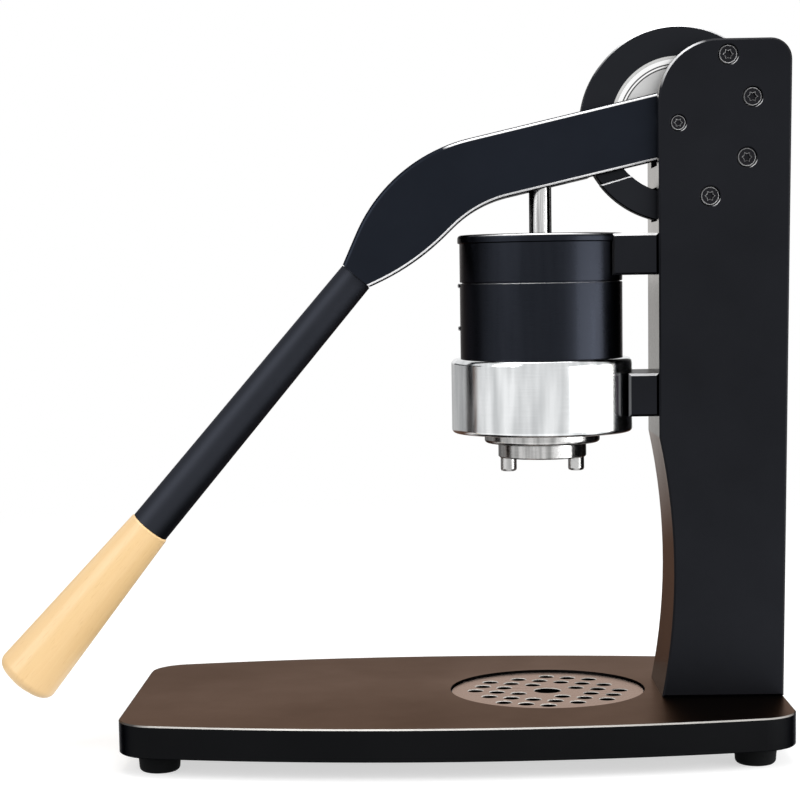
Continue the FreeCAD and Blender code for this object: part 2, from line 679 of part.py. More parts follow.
def axle_screws():
    return [cap_screw(axle_screw_point(side * (COLUMN_HALF_DEPTH - HEAD_SINK)), vec(0, side, 0),
                      AXLE_HEAD, AXLE_HEAD_HEIGHT, M4_SHANK, 9.0) for side in (-1, 1)]


def axle_collar():
    back = -LEVER_HALF_THICKNESS - FLANGE_THICKNESS - PART_GAP
    collar = disc_y(FLANGE_RADIUS, -PLATE_INNER, back, PIVOT_X, PIVOT_Z)
    return collar.cut(disc_y(AXLE_RADIUS + FIT_GAP, -20, 0, PIVOT_X, PIVOT_Z))


# ---------------------------------------------------------------- lever
def arm_outline():
    """Arm seen from the side: round root, straight bar, bent down to the tube."""
    end = lever_point(*TUBE_START)
    side = tube_axis().cross(vec(0, 1, 0))
    upper, lower = end + side * ARM_END_HALF, end - side * ARM_END_HALF
    if upper.z < lower.z:
        upper, lower = lower, upper
    return rounded_outline([
        (lever_point(-ARM_ROOT, ARM_ABOVE), ARM_ROOT_RADIUS),
        (lever_point(ARM_TOP_BEND[0], ARM_ABOVE), ARM_TOP_BEND[1]),
        (upper, 0),
        (lower, 0),
        (lever_point(ARM_BELLY[0], ARM_BELLY[1]), ARM_BELLY[2]),
        (lever_point(ARM_LOWER_BEND[0], -ARM_BELOW), ARM_LOWER_BEND[1]),
        (lever_point(-ARM_ROOT, -ARM_BELOW), ARM_ROOT_RADIUS)])


def rod_pocket():
    """Pocket in the arm, open below, in which the rod's eye and the rod itself swing."""
    half = POCKET_HALF_WIDTH
    pocket = cam_slot(ROD_EYE_RADIUS + ROD_ROOM, -half, half)
    room = vec(ROD_RADIUS + ROD_ROOM, 0, 0)
    below = vec(0, 0, -POCKET_REACH)
    for swing, place in pin_places():
        tilt = FreeCAD.Rotation(vec(0, 1, 0), -swing)
        corners = [place + tilt.multVec(offset)
                   for offset in (-room, room, room + below, -room + below)]
        pocket = pocket.fuse(polygon_y([(c.x, c.z) for c in corners], -half, half))
    return pocket


def lever_arm():
    half = LEVER_HALF_THICKNESS
    arm = extruded_y(arm_outline(), -half, half)
    tube_end = lever_point(*TUBE_START)
    for y in (-half, half):
        middle = tube_end + vec(0, y, 0)
        edges = [e for e in outline_edges(arm, vec(0, 1, 0), y)
                 if e.CenterOfMass.distanceToPoint(middle) > ARM_END_HALF / 2]
        arm = arm.makeFillet(LEVER_EDGE_ROUND, edges)
    arm = arm.cut(disc_y(ARM_RELIEF_RADIUS, CHEEK_BACK, half + 1, PIVOT_X, PIVOT_Z))
    arm = arm.cut(disc_y(BUSH_RADIUS + FIT_GAP, -half - 1, 0, PIVOT_X, PIVOT_Z))
    arm = arm.cut(rod_pocket())
    slot_room = ROLLER_RADIUS + PART_GAP
    arm = arm.cut(cam_slot(slot_room, SLOT_FRONT, half + 1))
    for u, w in JOURNAL_SCREWS:
        point = lever_point(u, w)
        arm = arm.cut(disc_y(M4_TAP, -11.5, 0, point.x, point.z))
    end = lever_point(*TUBE_START)
    socket_end = end - tube_axis() * (STUD_REACH + 1)
    return arm.cut(rod_between(STUD_RADIUS + 0.05, end + tube_axis(), socket_end))


def journal():
    """Half-round journal on the lever's rear side; it presses up against the ring's bore."""
    back = RING_BACK - PART_GAP
    segment = disc_y(JOURNAL_RADIUS, CHEEK_BACK, back, PIVOT_X, PIVOT_Z)
    for radius in JOURNAL_GROOVES:
        groove = disc_y(radius, CHEEK_BACK - 1, CHEEK_BACK + GROOVE_DEPTH, PIVOT_X, PIVOT_Z)
        groove = groove.cut(disc_y(radius - GROOVE_WIDTH, -20, 0, PIVOT_X, PIVOT_Z))
        segment = segment.cut(groove)
    reach = JOURNAL_RADIUS + 5
    keep = [lever_point(-reach, JOURNAL_CHORD), lever_point(reach, JOURNAL_CHORD),
            lever_point(reach, reach), lever_point(-reach, reach)]
    half = polygon_y([(p.x, p.z) for p in keep], -20, 20)
    boss = disc_y(JOURNAL_BOSS, CHEEK_BACK, back, PIVOT_X, PIVOT_Z)
    segment = segment.common(half).fuse(boss).removeSplitter()
    segment = segment.cut(disc_y(BUSH_RADIUS + FIT_GAP, -20, 20, PIVOT_X, PIVOT_Z))
    for u, w in JOURNAL_SCREWS:
        segment = segment.cut(screw_hole(lever_point(u, w, back), vec(0, 1, 0), M4_HEAD_ROOM,
                                         HEAD_SINK + M4_HEAD_HEIGHT, M4_HOLE, 20))
    return segment


def journal_screws():
    back = RING_BACK - PART_GAP
    return [cap_screw(lever_point(u, w, back - HEAD_SINK), vec(0, 1, 0), M4_HEAD,
                      M4_HEAD_HEIGHT, M4_SHANK, 14.5) for u, w in JOURNAL_SCREWS]


def pivot_bush_front():
    half = LEVER_HALF_THICKNESS
    bush = disc_y(BUSH_RADIUS, -half, CHEEK_BACK, PIVOT_X, PIVOT_Z)
    flange = disc_y(FLANGE_RADIUS, -half - FLANGE_THICKNESS, -half, PIVOT_X, PIVOT_Z)
    bush = bush.fuse(flange).removeSplitter()
    return bush.cut(disc_y(AXLE_RADIUS + RUNNING_GAP, -20, 20, PIVOT_X, PIVOT_Z))


def pivot_bush_rear():
    bush = disc_y(BUSH_RADIUS, CHEEK_BACK, RING_BACK - PART_GAP, PIVOT_X, PIVOT_Z)
    return bush.cut(disc_y(AXLE_RADIUS + RUNNING_GAP, -20, 20, PIVOT_X, PIVOT_Z))


def lever_tube():
    """Tapered tube between arm and grip, with a narrow groove where it meets the arm."""
    axis, start = tube_axis(), lever_point(*TUBE_START)
    tube = Part.makeCone(TUBE_RADIUS_START, TUBE_RADIUS_END, TUBE_LENGTH, start, axis)
    width, depth = TUBE_GROOVE
    groove = rod_between(TUBE_RADIUS_START + 1, start - axis, start + axis * width)
    groove = groove.cut(rod_between(TUBE_RADIUS_START - depth, start - axis, start + axis * width))
    bore = rod_between(TUBE_BORE, start - axis, start + axis * (TUBE_LENGTH + 1))
    return tube.cut(groove).cut(bore)


def tube_stud():
    axis, start = tube_axis(), lever_point(*TUBE_START)
    return rod_between(STUD_RADIUS, start - axis * STUD_REACH, start + axis * STUD_REACH)


def along_grip(distance, radius):
    """Point of the grip's profile, in the plane through its axis."""
    axis = tube_axis()
    side = vec(-axis.z, 0, axis.x)
    start = lever_point(*TUBE_START) + axis * TUBE_LENGTH
    return start + axis * distance + side * radius


def wood_grip():
    """Turned grip, thicker towards its domed end."""
    axis, start = tube_axis(), along_grip(0, 0)
    round_start = along_grip(0, GRIP_RADIUS_START - GRIP_START_ROUND)
    top_edge = along_grip(GRIP_START_ROUND, GRIP_RADIUS_START)
    shoulder = along_grip(GRIP_LENGTH - GRIP_END_ROUND, GRIP_RADIUS_END)
    slant = math.sqrt(0.5)
    round_middle = along_grip(GRIP_LENGTH - GRIP_END_ROUND * (1 - slant),
                              GRIP_RADIUS_END - GRIP_END_ROUND * (1 - slant))
    flat = GRIP_RADIUS_END - GRIP_END_ROUND
    round_end = along_grip(GRIP_LENGTH, flat)
    dome_radius = (flat ** 2 + GRIP_DOME ** 2) / (2 * GRIP_DOME)
    half_angle = math.asin(flat / dome_radius) / 2
    dome_middle = along_grip(GRIP_LENGTH + GRIP_DOME - dome_radius * (1 - math.cos(half_angle)),
                             dome_radius * math.sin(half_angle))
    tip = along_grip(GRIP_LENGTH + GRIP_DOME, 0)
    edges = [line(start, round_start), line(round_start, top_edge), line(top_edge, shoulder),
             arc(shoulder, round_middle, round_end), arc(round_end, dome_middle, tip),
             line(tip, start)]
    grip = Part.Face(Part.Wire(edges)).revolve(start, axis, 360)
    return grip.cut(rod_between(INSERT_RADIUS + 0.05, start - axis,
                                start + axis * (INSERT_REACH + 1)))


def grip_insert():
    """Threaded bar that joins tube and grip."""
    axis, start = tube_axis(), along_grip(0, 0)
    return rod_between(INSERT_RADIUS, start - axis * INSERT_BACK, start + axis * INSERT_REACH)


# ---------------------------------------------------------------- piston
def pin_height():
    return PIVOT_Z - PIN_DROP


def piston_rod():
    """Rod with a round eye for the crosshead pin on top and a threaded end below."""
    low = BASE_TOP + H_PISTON
    rod = disc_z(ROD_RADIUS, low + PISTON_HEIGHT, pin_height() - PIN_RADIUS - 1, BREW_X)
    eye = disc_y(ROD_EYE_RADIUS, -EYE_HALF_WIDTH, EYE_HALF_WIDTH, BREW_X, pin_height())
    thread = disc_z(ROD_THREAD, low + 1.0, low + PISTON_HEIGHT, BREW_X)
    rod = rod.multiFuse([eye, thread]).removeSplitter()
    return rod.cut(disc_y(PIN_RADIUS, -10, 10, BREW_X, pin_height()))


def crosshead_pin():
    front = SLOT_FRONT + PART_GAP
    return disc_y(PIN_RADIUS - FIT_GAP, front, -front + 0.6, BREW_X, pin_height())


def slot_roller(side):
    inner = ROD_RADIUS + PART_GAP
    outer = inner + ROLLER_WIDTH
    low, high = sorted((side * inner, side * outer))
    roller = disc_y(ROLLER_RADIUS, low, high, BREW_X, pin_height())
    return roller.cut(disc_y(PIN_RADIUS + RUNNING_GAP, low - 1, high + 1, BREW_X, pin_height()))


def piston_head():
    low = BASE_TOP + H_PISTON
    profile = [(0, low), (PISTON_RADIUS - 1, low), (PISTON_RADIUS, low + 1)]
    for height in SEAL_HEIGHTS:
        profile += [(PISTON_RADIUS, low + height), (SEAL_GROOVE, low + height),
                    (SEAL_GROOVE, low + height + SEAL_WIDTH),
                    (PISTON_RADIUS, low + height + SEAL_WIDTH)]
    profile += [(PISTON_RADIUS, low + PISTON_HEIGHT - 1),
                (PISTON_RADIUS - 1, low + PISTON_HEIGHT), (0, low + PISTON_HEIGHT)]
    head = turned(profile, BREW_X)
    head = head.cut(disc_z(ROD_THREAD + FIT_GAP, low - 1, low + PISTON_HEIGHT + 1, BREW_X))
    return head.cut(disc_z(NUT_ROOM, low - 1, low + 6.2, BREW_X))


def piston_seal(height):
    low = BASE_TOP + H_PISTON + height + 0.05
    seal = disc_z(SEAL_RADIUS, low, low + SEAL_WIDTH - 0.1, BREW_X)
    seal = seal.makeFillet(0.9, [e for e in seal.Edges if e.Closed and e.BoundBox.XLength > 10])
    return seal.cut(disc_z(SEAL_GROOVE + FIT_GAP, low - 1, low + SEAL_WIDTH + 1, BREW_X))


def piston_nut():
    low = BASE_TOP + H_PISTON + 1.2
    radius = NUT_FLATS / math.sqrt(3)
    corners = [vec(BREW_X + radius * math.cos(math.radians(a)),
                   radius * math.sin(math.radians(a)), low) for a in range(0, 360, 60)]
    nut = Part.Face(Part.makePolygon(corners + corners[:1])).extrude(vec(0, 0, 5.0))
    return nut.cut(disc_z(ROD_THREAD + FIT_GAP, low - 1, low + 6, BREW_X))


# ---------------------------------------------------------------- brew group
def upper_sleeve():
    """Sleeve with the pouring lip; its inside is a funnel down to the liner's notches."""
    seam, top, lip = (BASE_TOP + h for h in (H_SEAM, H_LIP_TOP, H_LIP_BOTTOM))
    funnel_low, funnel_high = (BASE_TOP + h for h in H_FUNNEL)
    recess = SPIGOT_RADIUS + RUNNING_GAP
    profile = [(recess, seam), (SLEEVE_RADIUS - SEAM_CHAMFER, seam),
               (SLEEVE_RADIUS, seam + SEAM_CHAMFER), (SLEEVE_RADIUS, lip),
               (LIP_RADIUS, lip + 0.5), (LIP_RADIUS, top), (FUNNEL_BORE + 0.8, top),
               (FUNNEL_BORE, top - 0.8), (FUNNEL_BORE, funnel_high), (SLEEVE_BORE, funnel_low),
               (SLEEVE_BORE, seam + SPIGOT_HEIGHT), (recess, seam + SPIGOT_HEIGHT)]
    sleeve = turned(profile, BREW_X)
    rim = [e for e in sleeve.Edges if e.Closed and e.BoundBox.ZMin > top - 0.01
           and e.BoundBox.XLength > 2 * LIP_RADIUS - 0.01]
    return sleeve.makeFillet(LIP_ROUND, rim).cut(bracket_screw_holes(0))


def lower_sleeve():
    """Plain sleeve with a spigot on top and holes for the two pins on its left side."""
    low, high = BASE_TOP + H_COLLAR_TOP, BASE_TOP + H_SEAM - SEAM_GAP
    profile = [(SLEEVE_BORE, low), (SLEEVE_RADIUS, low), (SLEEVE_RADIUS, high - SEAM_CHAMFER),
               (SLEEVE_RADIUS - SEAM_CHAMFER, high), (SPIGOT_RADIUS, high),
               (SPIGOT_RADIUS, high + SPIGOT_HEIGHT), (SLEEVE_BORE, high + SPIGOT_HEIGHT)]
    sleeve = turned(profile, BREW_X)
    for height in SLEEVE_PIN_HEIGHTS:
        z = BASE_TOP + height
        sleeve = sleeve.cut(rod_between(SLEEVE_PIN_SHANK + FIT_GAP, vec(BREW_X - 45, 0, z),
                                        vec(BREW_X - 20, 0, z)))
    return sleeve


def sleeve_pins():
    """Two small round-headed pins on the left side of the lower sleeve."""
    head = disc_z(SLEEVE_PIN_RADIUS, 0, SLEEVE_PIN_PROUD)
    crown = [e for e in head.Edges if e.Closed and e.BoundBox.ZMin > SLEEVE_PIN_PROUD - 0.01]
    head = head.makeFillet(SLEEVE_PIN_PROUD * 0.7, crown)
    pin = head.fuse(disc_z(SLEEVE_PIN_SHANK, -7.0, 0)).removeSplitter()
    return [placed(pin, vec(BREW_X - SLEEVE_RADIUS, 0, BASE_TOP + height), vec(-1, 0, 0))
            for height in SLEEVE_PIN_HEIGHTS]


def cylinder_liner():
    """Bore of the piston, with filling notches in its upper edge and a seal groove below."""
    low, high = BASE_TOP + H_LINER_BOTTOM, BASE_TOP + H_LINER_TOP
    seat = BASE_TOP + H_COLLAR_TOP
    profile = [(LINER_BORE, low), (LINER_FOOT_RADIUS, low), (LINER_FOOT_RADIUS, low + 2.5),
               (LINER_FOOT_RADIUS - 1.5, low + 2.5), (LINER_FOOT_RADIUS - 1.5, low + 4.5),
               (LINER_FOOT_RADIUS, low + 4.5), (LINER_FOOT_RADIUS, seat - 0.1),
               (LINER_RADIUS, seat - 0.1), (LINER_RADIUS, high - 0.1),
               (LINER_BORE + 0.5, high - 0.1), (LINER_BORE, high - 0.8)]
    liner = turned(profile, BREW_X)
    for index in range(NOTCH_COUNT):
        notch = sector(index * 360 / NOTCH_COUNT, LINER_RADIUS + 2, NOTCH_ANGLE,
                       BASE_TOP + H_FILL_NOTCH, high + 1)
        liner = liner.cut(notch)
    return liner


def liner_seal():
    low = BASE_TOP + H_LINER_BOTTOM + 2.6
    return ring_z(COLLAR_BORE - 0.02, LINER_FOOT_RADIUS - 1.48, low, low + 1.8, BREW_X)


def group_collar():
    """Collar with the gasket seat, the bayonet groove and its three entry slots."""
    low, high = BASE_TOP + H_COLLAR_BOTTOM, BASE_TOP + H_COLLAR_TOP
    collar = disc_z(COLLAR_RADIUS, low, high, BREW_X)
    rims = [e for e in collar.Edges if e.Closed]
    collar = collar.makeFillet(COLLAR_TOP_ROUND, [e for e in rims if e.BoundBox.ZMin > low + 1])
    rims = [e for e in collar.Edges if e.Closed and e.BoundBox.ZMax < low + 0.01]
    collar = collar.makeFillet(COLLAR_BOTTOM_ROUND, rims)
    collar = collar.cut(disc_z(NECK_ROOM, low - 1, high + 1, BREW_X))
    collar = collar.cut(disc_z(COLLAR_BORE, BASE_TOP + H_GASKET, high + 1, BREW_X))
    groove_low, groove_high = (BASE_TOP + h for h in H_LUG)
    collar = collar.cut(disc_z(LUG_ROOM, groove_low - PART_GAP, groove_high + PART_GAP, BREW_X))
    for index in range(LUG_COUNT):
        turn = index * 360 / LUG_COUNT + HOLDER_TWIST
        entry = sector(turn, LUG_ROOM, LUG_ANGLE + 4, low - 1, groove_high)
        collar = collar.cut(entry)
    return collar.cut(bracket_screw_holes(1))


def sector(turn, radius, angle, low, high):
    """Sector of a disc about the brew axis; turn is the direction of its middle, in degrees."""
    sector = Part.makeCylinder(radius, high - low, vec(0, 0, 0), UP, angle)
    sector.Placement = FreeCAD.Placement(vec(BREW_X, 0, low),
                                         FreeCAD.Rotation(UP, turn - angle / 2))
    return sector


def group_gasket():
    low = BASE_TOP + H_GASKET
    return ring_z(COLLAR_BORE - 0.1, GASKET_BORE, low, BASE_TOP + H_SCREEN, BREW_X)


def shower_screen():
    low = BASE_TOP + H_SCREEN
    screen = disc_z(SCREEN_RADIUS, low, low + SCREEN_THICKNESS, BREW_X)
    drills = []
    for ring, count in ((6.0, 6), (12.0, 12), (18.0, 18)):
        for index in range(count):
            angle = 2 * math.pi * index / count
            drills.append(disc_z(1.1, low - 1, low + 3, BREW_X + ring * math.cos(angle),
                                 ring * math.sin(angle)))
    return screen.cut(Part.makeCompound(drills))


# ---------------------------------------------------------------- basket holder and spouts
def basket_carrier():
    """Carrier that hangs in the bayonet: neck with lugs above, flange below, open floor."""
    flange_low = BASE_TOP + H_HOLDER_BOTTOM
    flange_high = BASE_TOP + H_COLLAR_BOTTOM - PART_GAP
    top = BASE_TOP + H_NECK_TOP
    inner = BASKET_RADIUS + 0.1
    flange = disc_z(HOLDER_FLANGE_RADIUS, flange_low, flange_high, BREW_X)
    flange = flange.makeFillet(1.6, [e for e in flange.Edges
                                     if e.Closed and e.BoundBox.ZMax < flange_low + 0.01])
    carrier = flange.fuse(disc_z(NECK_RADIUS, flange_high, top, BREW_X))
    for index in range(LUG_COUNT):
        carrier = carrier.fuse(sector(index * 360 / LUG_COUNT, LUG_RADIUS, LUG_ANGLE,
                                   BASE_TOP + H_LUG[0], BASE_TOP + H_LUG[1]))
    carrier = carrier.removeSplitter()
    carrier = carrier.cut(disc_z(inner, flange_high + 0.5, top + 1, BREW_X))
    return carrier.cut(disc_z(10.0, flange_low - 1, flange_high + 1, BREW_X))


def filter_basket():
    """Thin cup with a rolled rim and a perforated floor."""
    low, rim = BASE_TOP + H_BASKET, BASE_TOP + H_NECK_TOP
    outer, inner = BASKET_RADIUS, BASKET_RADIUS - BASKET_WALL
    profile = [(0, low), (outer - 2, low), (outer, low + 2), (outer, rim),
               (NECK_RADIUS, rim), (NECK_RADIUS, rim + 0.7), (inner, rim + 0.7),
               (inner, low + 2.2), (inner - 1.6, low + BASKET_WALL), (0, low + BASKET_WALL)]
    basket = turned(profile, BREW_X)
    drills = []
    for ring, count in ((0.0, 1), (5.0, 6), (10.0, 12), (15.0, 18), (20.0, 24)):
        for index in range(count):
            angle = 2 * math.pi * index / count
            drills.append(disc_z(0.5, low - 1, low + 2, BREW_X + ring * math.cos(angle),
                                 ring * math.sin(angle)))
    return basket.cut(Part.makeCompound(drills))


def spout_places():
    return [BREW_X + side * SPOUT_SPACING / 2 for side in (-1, 1)]


def spout_body():
    """Shallow round body that leads the coffee from the middle to the two spouts."""
    low, high = BASE_TOP + H_SPOUT_BODY, BASE_TOP + H_HOLDER_BOTTOM
    profile = [(0, low), (SPOUT_BODY_RADIUS - 0.6, low), (SPOUT_BODY_RADIUS, low + 0.6),
               (SPOUT_BODY_RADIUS, high - 0.8), (SPOUT_BODY_RADIUS - 0.9, high - 0.8),
               (SPOUT_BODY_RADIUS - 0.9, high), (18.5, high), (18.5, low + 2), (0, low + 2)]
    body = turned(profile, BREW_X)
    for x in spout_places():
        body = body.cut(disc_z(SPOUT_BORE, low - 1, low + 3, x))
    return body


def spouts():
    low, high = BASE_TOP + H_SPOUT_TIP, BASE_TOP + H_SPOUT_BODY
    profile = [(SPOUT_BORE, low), (SPOUT_RADIUS - 1.1, low), (SPOUT_RADIUS - 0.3, low + 0.3),
               (SPOUT_RADIUS, low + 1.1), (SPOUT_RADIUS, high), (SPOUT_BORE, high)]
    return [turned(profile, x) for x in spout_places()]


# ---------------------------------------------------------------- brackets
def bracket(sizes, group_radius):
    """Block between the brew group and the column, hollowed to the group's round side."""
    low, high, left = BASE_TOP + sizes[0], BASE_TOP + sizes[1], sizes[2]
    half = BRACKET_HALF_DEPTH
    body = block(left, COLUMN_LEFT, -half, half, low, high)
    body = chamfer_outline(body, BRACKET_CHAMFER, vec(0, 1, 0), -half)
    body = chamfer_outline(body, BRACKET_CHAMFER, vec(0, 1, 0), half)
    body = body.cut(disc_z(group_radius + RUNNING_GAP, low - 1, high + 1, BREW_X))
    tap = COLUMN_LEFT - BRACKET_BOLT_REACH - 1
    for side in (-1, 1):
        y, z = side * BRACKET_BOLT_Y, (low + high) / 2
        body = body.cut(rod_between(M6_TAP, vec(tap, y, z), vec(COLUMN_LEFT + 1, y, z)))
        body = body.cut(rod_between(M4_TAP, vec(BREW_X + 20, y, z), vec(tap, y, z)))
    return body


def upper_bracket():
    body = bracket(UPPER_BRACKET, SLEEVE_RADIUS)
    low, high = BASE_TOP + H_LIP_BOTTOM - 0.1, BASE_TOP + UPPER_BRACKET[1]
    return body.cut(disc_z(LIP_RADIUS + RUNNING_GAP, low, high + 1, BREW_X))


def lower_bracket():
    return bracket(LOWER_BRACKET, COLLAR_RADIUS)


def bracket_middles():
    return [BASE_TOP + (sizes[0] + sizes[1]) / 2 for sizes in (UPPER_BRACKET, LOWER_BRACKET)]


def bracket_bolt_points():
    return [vec(COLUMN_RIGHT, side * BRACKET_BOLT_Y, z)
            for z in bracket_middles() for side in (-1, 1)]


def bracket_bolts():
    """Long bolts from the column's back face into the brackets."""
    shank = COLUMN_RIGHT - COLUMN_LEFT + BRACKET_BOLT_REACH - HEAD_SINK - M6_HEAD_HEIGHT
    return [cap_screw(point - vec(HEAD_SINK, 0, 0), vec(1, 0, 0), M6_HEAD, M6_HEAD_HEIGHT,
                      M6_SHANK, shank) for point in bracket_bolt_points()]


def bracket_screw_seats(index):
    """Seats of the two screws that hold a group piece to its bracket, driven from inside."""
    bore, depth, _ = BRACKET_SCREW_SEATS[index]
    reach = math.sqrt(bore ** 2 - BRACKET_BOLT_Y ** 2) + depth
    return [vec(BREW_X + reach, side * BRACKET_BOLT_Y, bracket_middles()[index])
            for side in (-1, 1)]


def bracket_screw_holes(index):
    holes = []
    for seat in bracket_screw_seats(index):
        holes.append(rod_between(M4_HEAD_ROOM, vec(BREW_X + 10, seat.y, seat.z), seat))
        holes.append(rod_between(M4_HOLE, seat - vec(1, 0, 0), seat + vec(30, 0, 0)))
    return Part.makeCompound(holes)


def bracket_screws():
    screws = []
    for index, (_, _, shank) in enumerate(BRACKET_SCREW_SEATS):
        for seat in bracket_screw_seats(index):
            face = seat - vec(BRACKET_SCREW_HEAD_HEIGHT, 0, 0)
            screws.append(cap_screw(face, vec(-1, 0, 0), M4_HEAD, BRACKET_SCREW_HEAD_HEIGHT,
                                    M4_SHANK, shank))
    return screws


# ---------------------------------------------------------------- all pieces
def all_pieces():
    pieces = {
        "base_plate": base_plate(),
        "foot_screws": foot_screws(),
        "drip_cup": drip_cup(),
        "drip_grate": drip_grate(),
        "column_plate_front": column_plate(-1),
        "column_plate_rear": column_plate(1),
        "column_core": column_core(),
        "column_bolts": column_bolts(),
        "bearing_ring": bearing_ring(),
        "bearing_shell": bearing_shell(),
        "ring_spacers": ring_spacers(),
        "ring_screws_front": ring_screws(-1),
        "ring_screws_rear": ring_screws(1),
        "pivot_axle": pivot_axle(),
        "axle_screws": axle_screws(),
        "axle_collar": axle_collar(),
        "lever_arm": lever_arm(),
        "bearing_journal": journal(),
        "journal_screws": journal_screws(),
        "pivot_bush_front": pivot_bush_front(),
        "pivot_bush_rear": pivot_bush_rear(),
        "lever_tube": lever_tube(),
        "tube_stud": tube_stud(),
        "wood_grip": wood_grip(),
        "grip_insert": grip_insert(),
        "piston_rod": piston_rod(),
        "crosshead_pin": crosshead_pin(),
        "slot_roller_front": slot_roller(-1),
        "slot_roller_rear": slot_roller(1),
        "piston_head": piston_head(),
        "piston_seal_lower": piston_seal(SEAL_HEIGHTS[0]),
        "piston_seal_upper": piston_seal(SEAL_HEIGHTS[1]),
        "piston_nut": piston_nut(),
        "upper_sleeve": upper_sleeve(),
        "lower_sleeve": lower_sleeve(),
        "sleeve_pins": sleeve_pins(),
        "cylinder_liner": cylinder_liner(),
        "liner_seal": liner_seal(),
        "group_collar": group_collar(),
        "group_gasket": group_gasket(),
        "shower_screen": shower_screen(),
        "basket_carrier": basket_carrier(),
        "filter_basket": filter_basket(),
        "spout_body": spout_body(),
        "spouts": spouts(),
        "upper_bracket": upper_bracket(),
        "lower_bracket": lower_bracket(),
        "bracket_bolts": bracket_bolts(),
        "bracket_screws": bracket_screws(),
    }
    names = ("foot_front_left", "foot_back_left", "foot_front_right", "foot_back_right")
    for name, (x, y) in zip(names, foot_places()):
        pieces[name] = rubber_foot(x, y)
    return pieces


def main():
    os.makedirs("parts", exist_ok=True)
    for name, shape in all_pieces().items():
        solid = Part.makeCompound(shape) if isinstance(shape, list) else shape
        solid.exportStep("parts/" + name + ".step")


main()
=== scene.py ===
import math

import bpy
from mathutils import Matrix, Vector

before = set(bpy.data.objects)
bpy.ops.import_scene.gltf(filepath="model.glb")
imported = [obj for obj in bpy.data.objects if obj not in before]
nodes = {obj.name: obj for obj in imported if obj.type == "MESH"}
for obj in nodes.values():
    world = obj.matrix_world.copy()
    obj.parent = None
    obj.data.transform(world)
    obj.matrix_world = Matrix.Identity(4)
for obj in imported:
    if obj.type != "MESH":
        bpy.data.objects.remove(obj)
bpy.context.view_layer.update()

# places on the press, in metres; the grip starts that far along the tube's axis
PIVOT = (0.1412, 0.0, 0.2976)
BREW = (0.0759, 0.0, 0.0)
TRAY = (0.0774, 0.0, 0.0)
TUBE_START = Vector((-0.0128449, 0.0, 0.2278041))
TUBE_AXIS = Vector((-0.6507742, 0.0, -0.7592713))
GRIP_START = 0.1589

# face axes: the normal of upright plates and of level ones
UPRIGHT = (0.0, 1.0, 0.0)
LEVEL = (0.0, 0.0, 1.0)

# depths of the finest surface marks, in metres
GRAIN_DEPTH = 0.00004
TOOL_DEPTH = 0.00003
RUBBER_DEPTH = 0.00008
FIBRE_DEPTH = 0.00006

# tones and values that more than one finish uses
PLATE_TONE = (0.0125, 0.0132, 0.0158)
WARM_SHEEN = (1.0, 0.97, 0.93)
# painted highlight on the rims of drilled holes
HOLE_RIM_HIGHLIGHT = (0.62, 0.59, 0.55)
TONE_SWING = 1.35
MATT_METALLIC = 0.3
NOISE_SPAN = (0.3, 0.7)
PLAIN_WHITE = (1.0, 1.0, 1.0)

# the stage: distances and heights in metres, light levels relative to white
FLOOR_SIZE = 12.0
FLOOR_GREY = (0.55, 0.55, 0.55)
FLOOR_GLOW = 0.6
FLOOR_FADE = (0.35, 1.1)
REAR_START = (0.05, 0.2)
REAR_FADE = (0.7, 2.1)
REAR_BROWN = (0.14, 0.08, 0.056)
WORLD_LIGHT = 0.55
CARD_DISTANCE = 1.2
LOW_CARD = (0.0, 0.22)
HIGH_CARD = (0.235, 0.4)

# name, place, aim, width, height, watts
LAMPS = (
    ("lamp_left", (-1.3, -1.1, 1.0), (0.0, 0.0, 0.15), 1.2, 1.2, 13.5),
    ("lamp_right_low", (1.682, -0.491, 0.14), (0.1, 0.0, 0.14), 1.6, 0.27, 11.5),
    ("lamp_right_low_edge", (1.156, -1.287, 0.14), (0.1, 0.0, 0.14), 0.5, 0.27, 0.55),
    ("lamp_right_high", (1.6, -0.7, 0.8), (0.1, 0.0, 0.15), 1.3, 1.1, 28.0),
    ("lamp_top", (0.0, 0.1, 1.6), (0.05, 0.0, 0.1), 1.2, 0.7, 8.0),
)
# the lamps that polished metal doesn't show
UNMIRRORED_LAMPS = ("lamp_right_high",)

# name, azimuth in degrees from the front, width, light level, heights of the lower and upper edge
CARDS = (
    ("card_left", -106.0, 0.29, 0.02, LOW_CARD),
    ("card_far_left", -145.0, 1.58, 0.55, LOW_CARD),
    ("card_right", 128.0, 1.15, 0.01, LOW_CARD),
    ("card_high_left", -117.0, 1.55, 0.02, HIGH_CARD),
    ("card_high_right", 142.0, 0.8, 0.02, HIGH_CARD),
)


# ---------------------------------------------------------------- node helpers
def feed(tree, socket, value):
    """Give a socket another node's output, or a number, a vector or a colour."""
    if isinstance(value, bpy.types.NodeSocket):
        tree.links.new(value, socket)
    elif socket.type == "RGBA":
        socket.default_value = (*value, 1.0)
    else:
        socket.default_value = value


def feed_all(tree, sockets, **values):
    """Feed sockets by their labels, with an underscore for each space."""
    for label, value in values.items():
        feed(tree, sockets[label.replace("_", " ")], value)


def add_node(tree, kind, place, inputs=None, **settings):
    node = tree.nodes.new(kind)
    node.location = place
    for name, value in settings.items():
        setattr(node, name, value)
    for label, value in (inputs or {}).items():
        feed(tree, node.inputs[label], value)
    return node


def math_node(tree, operation, place, first, second=None, clamp=False):
    inputs = {0: first} if second is None else {0: first, 1: second}
    node = add_node(tree, "ShaderNodeMath", place, inputs, operation=operation, use_clamp=clamp)
    return node.outputs[0]


def vector_node(tree, operation, place, first, second=None):
    """Vector arithmetic, which gives a number for DOT_PRODUCT and LENGTH."""
    inputs = {0: first}
    if second is not None:
        inputs["Scale" if operation == "SCALE" else 1] = second
    node = add_node(tree, "ShaderNodeVectorMath", place, inputs, operation=operation)
    return node.outputs["Value" if operation in ("DOT_PRODUCT", "LENGTH") else "Vector"]


